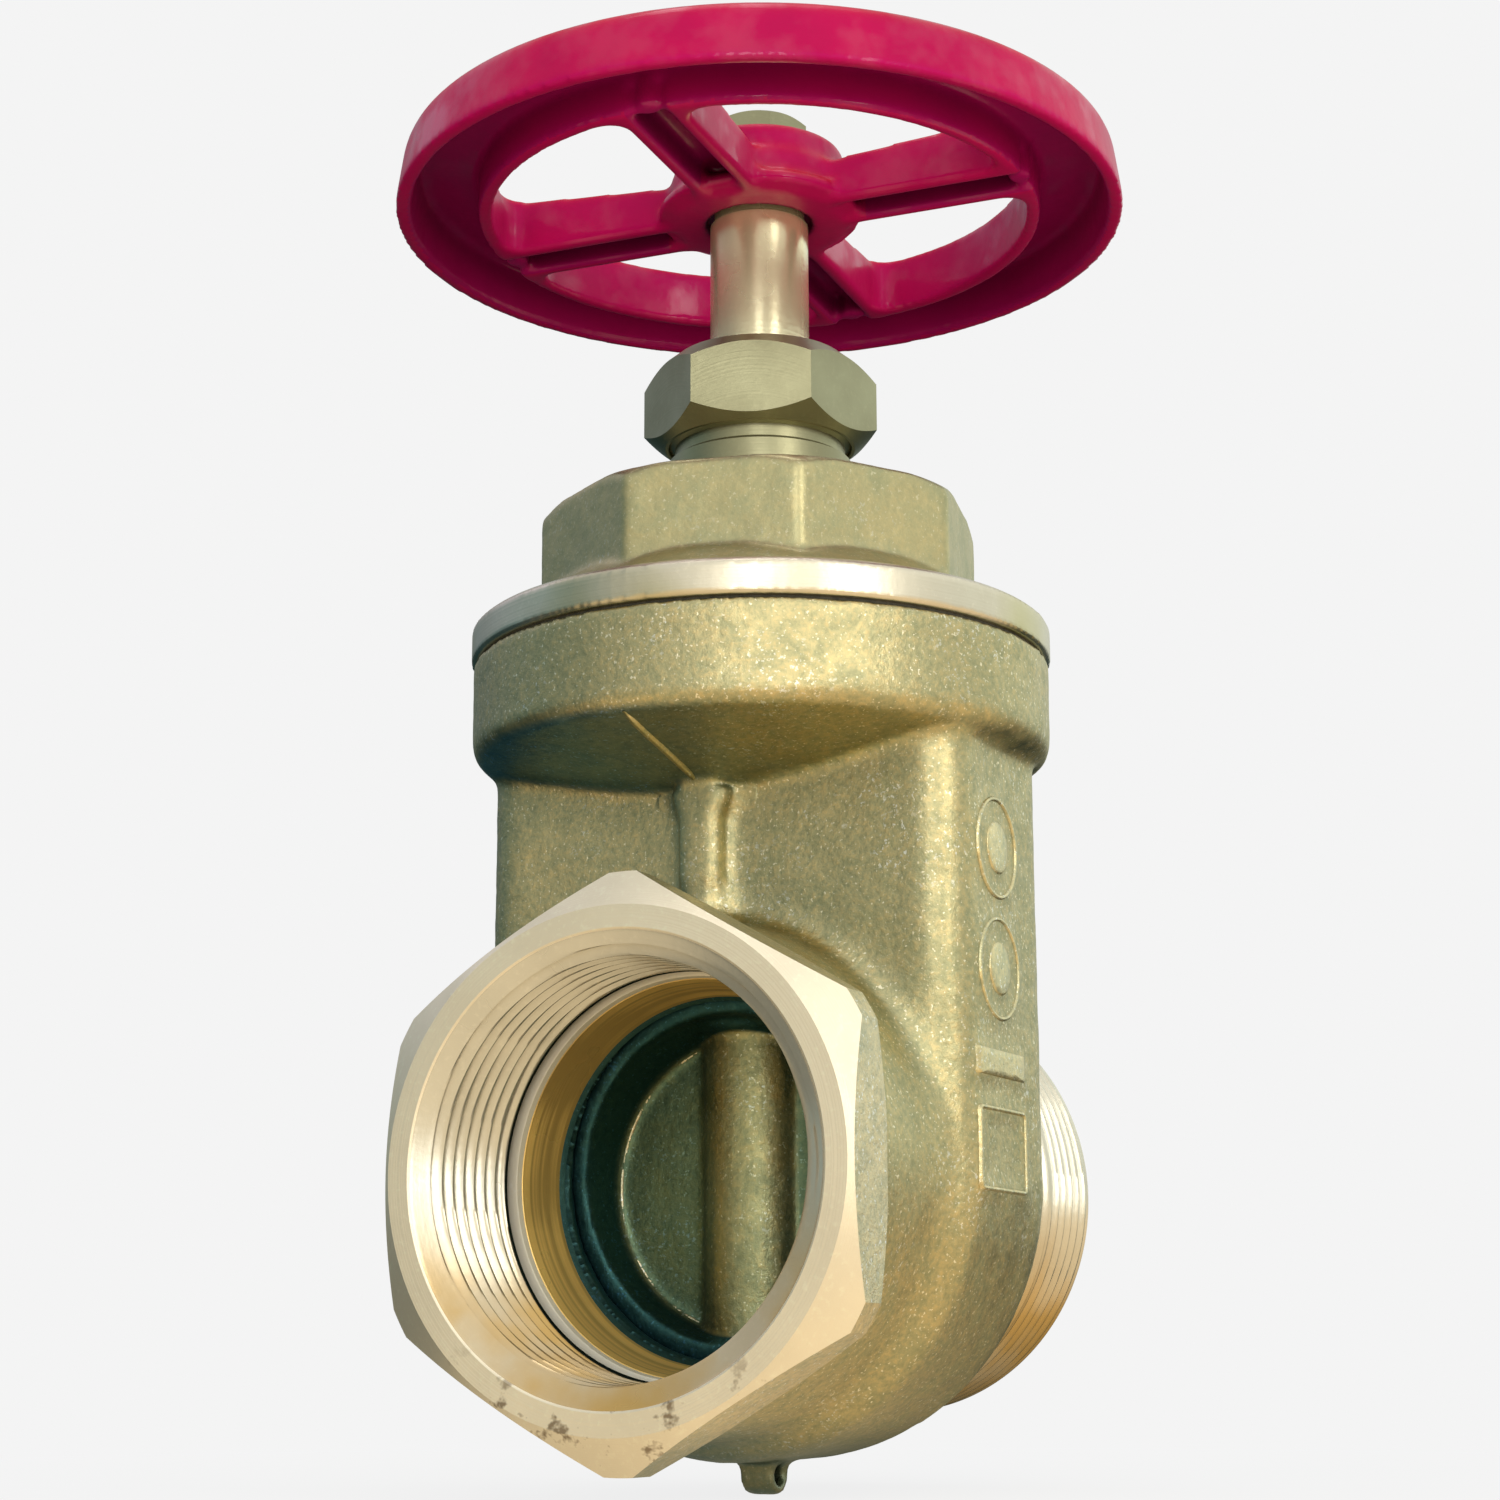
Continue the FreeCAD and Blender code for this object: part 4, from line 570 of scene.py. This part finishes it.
def make_inlet_turning():
    """The turned inside of the inlet: face, countersink, thread, undercut, land and seat opening."""
    rows = [ring_about("Y", r, -y) for r, y in ((40.6, 53.0), (40.9, 53.4), (40.8, 53.5), (37.55, 53.5),
                                               (37.25, 53.35))]
    rows += threaded_rows(33.4, 2.3, 3.175, -53.3, -29.7, True, lambda y: 37.2 - (53.3 + y) * 1.9)
    rows += [ring_about("Y", r, -y) for r, y in (
        (33.4, 29.6), (36.3, 29.5), (36.4, 29.3), (36.4, 27.4), (36.2, 27.2), (33.3, 27.2), (33.0, 27.1),
        (32.9, 26.8), (32.75, 26.0), (32.6, 25.9), (31.2, 18.6), (30.75, 17.0),
        (30.4, 16.6), (30.1, 16.2), (31.0, 15.8), (39.5, 16.2),
        (39.5, 52.0))]
    mesh = grid_mesh("inlet_turning", rows)
    smooth_by_angle(mesh, 22.0)
    piece = add_object("inlet_turning", mesh, "housing",
                       [FACE, THREAD, GOLD, SHADED, ROOT_SHADE, UNDERCUT_SHADE, LIP_HIGHLIGHT])
    x, y, z = face_places(mesh)
    # Faces by place: the thread roots, the undercut and all past the seat opening's edge take painted shade,
    # the step before the land a painted highlight.
    root = (np.hypot(x, z) > 33.4 + 1.45) & (y > -50.2) & (y < -30.2)
    set_finish(mesh, np.select([y < -53.2, root, y < -30.3, y < -27.25, y < -26.0, y < -17.6],
                               [0, 4, 1, 5, 6, 2], 3))
    return piece


def make_inlet_hexagon():
    """The hexagon with its turned corners, exact to the CAD: flats, front cone, corner bands, back bevel."""
    flat = HEX_CORNER * math.cos(math.pi / 6)
    meet = math.acos(flat / HEX_TURNED)
    turns = []
    for side in range(6):
        middle = math.radians(60.0 * side)
        turns += list(middle + np.linspace(-meet, meet, 21))
        turns += list(middle + np.linspace(meet, math.pi / 3 - meet, 7)[1:-1])
    turns = np.array(turns)
    swing = np.abs((turns + math.pi / 6) % (math.pi / 3) - math.pi / 6)
    radius = np.minimum(HEX_TURNED, flat / np.cos(swing))

    def row(r, y):
        return np.stack([r * np.cos(turns), y * np.ones(len(turns)), r * np.sin(turns)], 1)

    front = -INLET_FACE + HEX_FRONT_DEPTH * (radius - HEX_FACE) / (HEX_TURNED - HEX_FACE)
    past = np.maximum(radius - HEX_BACK_RADIUS, 0.0) / (HEX_TURNED - HEX_BACK_RADIUS)
    rows = [row(40.8, -INLET_FACE), row(HEX_FACE, -INLET_FACE), row(radius, front),
            row(radius, -HEX_BACK - HEX_BACK_BEVEL * past),
            row(np.minimum(radius, HEX_BACK_RADIUS), -HEX_BACK),
            row(39.6, -HEX_BACK + 0.3), row(39.6, -INLET_FACE + 0.4)]
    mesh = grid_mesh("inlet_hexagon", rows)
    piece = add_object("inlet_hexagon", mesh, "housing", [CAST_FLATS, FACE])
    smooth_by_angle(mesh, 12.0)
    set_finish(mesh, np.repeat([1, 1, 0, 0, 0, 0, 0], len(turns)))
    soften(piece, 0.35, 3, 12.0)
    return piece


def soften(piece, width, segments, angle):
    """Round a piece's sharp edges."""
    modifier = piece.modifiers.new("soft_edges", "BEVEL")
    modifier.width = width * MM
    modifier.segments = segments
    modifier.limit_method = "ANGLE"
    modifier.angle_limit = math.radians(angle)
    modifier.harden_normals = False


def ridge(path, outward, across, width, height, closed=True):
    """Rows of a rounded ridge along a path: outward and across are unit vectors for each point."""
    profile = [(-0.62, -0.6), (-0.5, 0.0), (-0.36, 0.72), (-0.16, 0.98),
               (0.16, 0.98), (0.36, 0.72), (0.5, 0.0),
               (0.62, -0.6)]
    return [path + across * (u * width) + outward * (v * height) for u, v in profile]


def mark_loop(points, width):
    """A closed raised line on the body's +X side, from (Y, height) points that run round it."""
    flat = np.array(points)
    along = np.roll(flat, -1, 0) - np.roll(flat, 1, 0)
    along /= np.linalg.norm(along, axis=1)[:, None]
    path = np.stack([np.full(len(flat), SIDE_FACE), flat[:, 0], flat[:, 1]], 1)
    outward = np.tile([1.0, 0.0, 0.0], (len(flat), 1))
    across = np.stack([np.zeros(len(flat)), -along[:, 1], along[:, 0]], 1)
    return ridge(path, outward, across, width, MARK_HEIGHT)


def rounded_box(half_width, half_height, corner, centre):
    """Points round a rectangle with rounded corners, in the plane of the body's side."""
    points = []
    for turn, (u, v) in enumerate(((1, 1), (-1, 1), (-1, -1), (1, -1))):
        middle = (MARK_PLACE + u * (half_width - corner), centre + v * (half_height - corner))
        for step in range(7):
            angle = math.radians(90.0 * turn + 15.0 * step)
            points.append((middle[0] + corner * math.cos(angle), middle[1] + corner * math.sin(angle)))
    return spaced(points, 0.7)


def spaced(points, step):
    """The same closed line with points at most a step apart."""
    dense = []
    for (a, b), (c, d) in zip(points, points[1:] + points[:1]):
        count = max(1, int(math.hypot(c - a, d - b) / step))
        dense += [(a + (c - a) * i / count, b + (d - b) * i / count) for i in range(count)]
    return dense


def pad_rows(outline, height):
    """Rows of a low solid pad with a rounded edge on the body's +X side, from (Y, height) points."""
    flat = np.array(outline)
    middle = flat.mean(0)
    rows = []
    for inset, rise in ((1.04, -0.6), (1.0, 0.0), (0.96, 0.7), (0.88, 0.98), (0.5, 1.05), (0.02, 1.06)):
        ring = middle + (flat - middle) * inset
        rows.append(np.stack([np.full(len(ring), SIDE_FACE + rise * height), ring[:, 0], ring[:, 1]], 1))
    return rows


def make_marks():
    """Plain cast marks: two rings with a disc each, a bar and an empty frame."""
    for number, centre in enumerate((54.5, 34.0), start=1):
        angles = np.linspace(0.0, 2.0 * math.pi, 96, endpoint=False)
        circle = [(math.cos(a), math.sin(a)) for a in angles]
        ring = [(MARK_PLACE + 8.35 * u, centre + 8.35 * v) for u, v in circle]
        disc = [(MARK_PLACE + 4.6 * u, centre + 4.6 * v) for u, v in circle]
        for name, rows in (("ring", mark_loop(ring, 0.9)), ("disc", pad_rows(disc, MARK_HEIGHT))):
            add_mark("cast_%s_%d" % (name, number), rows, name == "ring")
    add_mark("cast_bar", pad_rows(rounded_box(10.2, 2.3, 0.6, 18.1), MARK_HEIGHT), False)
    add_mark("cast_frame", mark_loop(rounded_box(9.75, 6.55, 1.0, 4.0), 0.9), True)


def add_mark(name, rows, closed):
    mesh = grid_mesh(name, rows, closed)
    smooth_by_angle(mesh, 50.0)
    return add_object(name, mesh, "housing", [CAST_WORN])


def make_parting_line():
    """The mould's parting line: a thin ridge on X = 0 along the collar's conical underside."""
    line = [(-r, COLLAR_APEX + COLLAR_SLOPE * r) for r in np.linspace(COLLAR_RADIUS - 1.6, 22.0, 30)]
    flat = np.array(line)
    along = np.gradient(flat, axis=0)
    along /= np.linalg.norm(along, axis=1)[:, None]
    path = np.stack([np.zeros(len(flat)), flat[:, 0], flat[:, 1]], 1)
    outward = np.stack([np.zeros(len(flat)), along[:, 1], -along[:, 0]], 1)
    across = np.tile([1.0, 0.0, 0.0], (len(flat), 1))
    taper = ramp(np.arange(len(flat)), -0.5, 4.0)[:, None]
    rows = ridge(path, outward * taper, across * (0.3 + 0.7 * taper), 1.2, 0.6)
    mesh = strip_mesh("parting_line", rows)
    smooth_by_angle(mesh, 50.0)
    return add_object("parting_line", mesh, "housing", [CAST_WORN])


def strip_mesh(name, rows):
    """Join rows of points, each an open line, into a closed tube with open ends."""
    count, length = len(rows), len(rows[0])
    vertices = (np.concatenate(rows) + LIFT) * MM
    faces = []
    for i in range(count):
        a, b = i * length, ((i + 1) % count) * length
        faces += [(a + j, a + j + 1, b + j + 1, b + j) for j in range(length - 1)]
    mesh = bpy.data.meshes.new(name)
    mesh.from_pydata(vertices.tolist(), [], faces)
    mesh.update()
    return mesh


def make_outlet_turning():
    """The outlet's hose thread, end face and bore."""
    rows = [ring_about("Y", r, y) for r, y in ((36.2, 32.0), (36.2, 33.7), (37.9, 34.7), (38.7, 35.3))]
    rows += threaded_rows(38.97, 2.2, 3.387, 35.6, 55.8, False)
    rows += [ring_about("Y", r, y) for r, y in (
        (38.9, 55.9), (37.6, 57.2), (37.2, 57.4), (32.6, 57.4), (32.1, 57.0), (31.6, 53.4), (30.05, 32.0),
        (33.0, 31.0))]
    mesh = grid_mesh("outlet_turning", rows)
    smooth_by_angle(mesh, 38.0)
    piece = add_object("outlet_turning", mesh, "housing", [THREAD, ROOT_SHADE])
    x, y, z = face_places(mesh)
    # Painted shade: the outlet thread's roots take the dark copy.
    set_finish(mesh, (np.hypot(x, z) < 38.97 - 1.45) & (np.hypot(x, z) > 36.4) & (y > 35.6) & (y < 55.8))
    return piece


# ---------------------------------------------------------------- bonnet, wedge and wheel
OCTAGON_FLAT = 13.8
WEB_RADIUS, WEB_FACE, WEB_EDGE_END = 25.2, 5.0, 9.2
SPOKE_TURN = 5.0


def make_bonnet():
    """Bonnet with softened casting edges, and a turned flange."""
    mesh = remeshed("bonnet", 0.65, OCTAGON_FLAT)
    points = get_points(mesh)
    x, y, z = points.T
    radial = np.hypot(x, y)
    flange = ramp(radial, 44.5, 46.0) * (1.0 - ramp(z, 98.6, 99.4))
    weight = 0.5 * (1.0 - 0.9 * flange)
    weight[z < 91.4] = 0.05
    points = smooth(mesh, points, 5, weight)
    points = cast_skin(mesh, points, 0.7 * (1.0 - flange), 11.0)
    set_points(mesh, points)
    mesh.polygons.foreach_set("use_smooth", [True] * len(mesh.polygons))
    cx, cy, cz = face_places(mesh)
    turned = (np.hypot(cx, cy) > 44.8) & (cz < 98.4)
    piece = add_object("bonnet_casting", mesh, "housing", [CAST_FINE, BRIGHT], ["bonnet"])
    set_finish(mesh, turned)
    return piece


def make_wedge():
    """Cast wedge with soft edges; its rim and the walls of its recesses carry a painted dark shade."""
    mesh = remeshed("wedge", 0.65)
    points = get_points(mesh)
    weight = np.full(len(points), 0.5)
    points = smooth(mesh, points, 6, weight)
    points = cast_skin(mesh, points, np.full(len(points), 0.8), 23.0)
    set_points(mesh, points)
    mesh.polygons.foreach_set("use_smooth", [True] * len(mesh.polygons))
    return add_object("wedge_casting", mesh, "gate", [CAST_WEDGE], ["wedge"])


def make_web_edges():
    """The crisp cast edge on each side of both faces of the wedge's web, stopping at the stem's tube; its
    lighter brass is a painted highlight.
    """
    reach = math.acos(WEB_EDGE_END / WEB_RADIUS)
    sweep = np.linspace(-reach, reach, 90)
    profile = ((0.9, -0.5), (0.5, 0.0), (0.18, 0.42), (-0.12, 0.46), (-0.42, 0.2), (-0.6, -0.2), (-0.7, -0.6))
    for number, (face, start) in enumerate(((-1, 0.0), (-1, math.pi), (1, 0.0), (1, math.pi)), start=1):
        angle = sweep + start
        rows = [np.stack([(WEB_RADIUS + u) * np.cos(angle), np.full(len(angle), face * (WEB_FACE + v)),
                          (WEB_RADIUS + u) * np.sin(angle)], 1) for u, v in profile[::-face]]
        mesh = strip_mesh("web_edge_%d" % number, rows)
        smooth_by_angle(mesh, 50.0)
        # Painted highlight: the ridge is real, and its lighter brass stands in for the light it catches.
        add_object("web_edge_%d" % number, mesh, "gate", [CAST_FLATS])


def make_handwheel():
    """Enamelled wheel with the soft edges of thick paint over a casting, and a darker copy of the enamel in
    its channels as painted shade.
    """
    mesh = remeshed("handwheel", 0.7, SPOKE_TURN)
    points = get_points(mesh)
    radial = np.hypot(points[:, 0], points[:, 1])
    weight = np.full(len(points), 0.5) * ramp(radial, 9.8, 11.5)
    points = smooth(mesh, points, 5, weight)
    set_points(mesh, points)
    mesh.polygons.foreach_set("use_smooth", [True] * len(mesh.polygons))
    piece = add_object("handwheel_enamelled", mesh, "spindle",
                       [ENAMEL, ENAMEL_SHADED], ["handwheel"])
    x, y, z = face_places(mesh)
    radial = np.hypot(x, y)
    spin = np.arctan2(y, x) - math.radians(SPOKE_TURN)
    beside = np.abs(radial * np.sin(2.0 * spin) / 2.0)
    rim_channel = (radial > 52.1) & (radial < 65.4) & (z < 187.2)
    spoke_channel = (radial > 20.0) & (radial < 52.5) & (beside < 3.9) & (z < 183.7)
    # Painted shade: the rim's and spokes' channels take the darker enamel.
    set_finish(mesh, rim_channel | spoke_channel)
    return piece


make_body_casting()
make_inlet_turning()
make_inlet_hexagon()
make_outlet_turning()
make_marks()
make_parting_line()
make_bonnet()
make_wedge()
make_web_edges()
make_handwheel()
for node_name, width in (("packing_nut", 0.35), ("handwheel_nut", 0.25)):
    soften(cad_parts[node_name], width, 2, 25.0)


# ---------------------------------------------------------------- stage, light and camera
BACKGROUND = 0.905


def make_floor():
    """A plain pale floor just under the valve, with a faint shadow that fades into the background."""
    mesh = bpy.data.meshes.new("floor")
    size, level = 8.0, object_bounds()[0][2] - 0.0002
    mesh.from_pydata([(-size, -size, level), (size, -size, level), (size, size, level), (-size, size, level)],
                     [], [(0, 1, 2, 3)])
    material, g = new_material("pale_floor")
    path = g.add("ShaderNodeLightPath")
    where = place(g)
    away = g.add("ShaderNodeVectorMath", {0: where}, operation="LENGTH").outputs["Value"]
    speck = g.noise(where, 30.0, 2.0)
    seen = g.blend(speck, colour(0.90, 0.90, 0.90), colour(0.91, 0.91, 0.91))
    shade = g.blend(path.outputs["Is Camera Ray"], colour(0.08, 0.08, 0.07), seen)
    diffuse = g.add("ShaderNodeBsdfDiffuse", {"Color": shade})
    side = g.add("ShaderNodeVectorMath", {0: where, 1: (0.75, -0.66, 0.0)},
                 operation="DOT_PRODUCT").outputs["Value"]
    bounce = g.blend(g.span(side, -0.04, 0.05), colour(0.01, 0.04, 0.05), colour(0.98, 0.80, 0.52))
    tone = g.blend(path.outputs["Is Camera Ray"], bounce, colour(BACKGROUND, BACKGROUND, BACKGROUND))
    glow = g.add("ShaderNodeEmission", {"Color": tone, "Strength": 1.0})
    part = g.span(away, 0.06, 0.28, 0.92, 1.0)
    mixed = g.add("ShaderNodeMixShader", {0: part, 1: diffuse.outputs[0], 2: glow.outputs[0]})
    below = g.add("ShaderNodeNewGeometry").outputs["Backfacing"]
    clear = g.add("ShaderNodeBsdfTransparent")
    open_below = g.add("ShaderNodeMixShader", {0: below, 1: mixed.outputs[0], 2: clear.outputs[0]})
    g.add("ShaderNodeOutputMaterial", {"Surface": open_below.outputs[0]})
    floor = bpy.data.objects.new("floor", mesh)
    SCENE.collection.objects.link(floor)
    mesh.materials.append(material)


# Soft glows in the studio: direction, how tight the glow is, and its colour.
GLOWS = [
    ((0.66, -0.73, 0.20), 1.3, (0.86, 0.84, 0.73)),
    ((0.87, -0.44, 0.22), 36.0, (0.50, 0.47, 0.40)),
    ((-0.92, -0.38, 0.05), 5.0, (0.10, 0.17, 0.17)),
    ((-0.10, -0.97, 0.22), 14.0, (0.14, 0.14, 0.12)),
    ((0.50, 0.84, 0.22), 3.5, (0.90, 0.95, 0.84)),
    ((-0.80, 0.10, 0.60), 24.0, (0.34, 0.28, 0.42)),
]


def make_world():
    """White to the camera; to the metal, a soft studio of glows over a dark, cool ground."""
    world = bpy.data.worlds.new("studio")
    SCENE.world = world
    world.use_nodes = True
    g = Graph(world.node_tree)
    where = g.add("ShaderNodeTexCoord").outputs["Generated"]
    height = g.add("ShaderNodeSeparateXYZ", {0: where}).outputs[2]
    sky = g.blend(g.span(height, -0.35, 0.15), colour(0.01, 0.03, 0.034), colour(0.085, 0.14, 0.165))
    sky = g.blend(g.span(height, 0.15, 0.90), sky, colour(0.60, 0.62, 0.62))
    for direction, tightness, tint in GLOWS:
        unit = Vector(direction).normalized()
        along = g.add("ShaderNodeVectorMath", {0: where, 1: tuple(unit)},
                      operation="DOT_PRODUCT").outputs["Value"]
        strength = g.math("POWER", g.math("MAXIMUM", along, 0.0), tightness)
        sky = g.blend(strength, sky, colour(*tint), "ADD")
    path = g.add("ShaderNodeLightPath").outputs["Is Camera Ray"]
    seen = g.blend(path, sky, colour(BACKGROUND, BACKGROUND, BACKGROUND))
    back = g.add("ShaderNodeBackground", {"Color": seen, "Strength": 1.0})
    g.add("ShaderNodeOutputWorld", {"Surface": back.outputs[0]})


def add_area_light(name, spot, target, size, power, tint=(1.0, 1.0, 1.0)):
    """A soft rectangular light at a spot, aimed at a target, in metres."""
    light = bpy.data.lights.new(name, "AREA")
    light.shape = "RECTANGLE"
    light.size, light.size_y = size
    light.energy = power
    light.color = tint
    lamp = bpy.data.objects.new(name, light)
    SCENE.collection.objects.link(lamp)
    lamp.location = spot
    lamp.rotation_euler = (Vector(target) - Vector(spot)).to_track_quat("-Z", "Y").to_euler()
    return lamp


def make_lights():
    """A warm key from the right, a strip in front and a small light from above."""
    middle = (0.0, 0.0, 0.12)
    add_area_light("key_right", (0.80, -0.42, 0.36), middle, (0.20, 0.6), 1.3, (1.0, 0.97, 0.90))
    add_area_light("front_strip", (0.40, -0.85, 0.28), middle, (0.22, 0.5), 1.2, (1.0, 0.98, 0.94))
    add_area_light("top", (0.0, -0.1, 1.05), middle, (0.5, 0.5), 1.6)


def make_camera():
    """The viewing place and angle of the reference picture."""
    camera = bpy.data.cameras.new("camera")
    camera.lens, camera.sensor_width = 65.296, 36.0
    camera.clip_start, camera.clip_end = 0.01, 20.0
    shooter = bpy.data.objects.new("camera", camera)
    SCENE.collection.objects.link(shooter)
    shooter.location = Vector((214.544, -423.987, PIPE_HEIGHT - 30.949)) * MM
    forward = Vector((-0.443948, 0.868144, 0.221890))
    turn = forward.to_track_quat("-Z", "Y").to_matrix().to_4x4()
    roll = Matrix.Rotation(math.radians(-0.166), 4, "Z")
    shooter.rotation_euler = (turn @ roll).to_euler()
    SCENE.camera = shooter


make_floor()
make_world()
make_lights()
make_camera()
SCENE.view_settings.view_transform = "Standard"
SCENE.view_settings.look = "None"
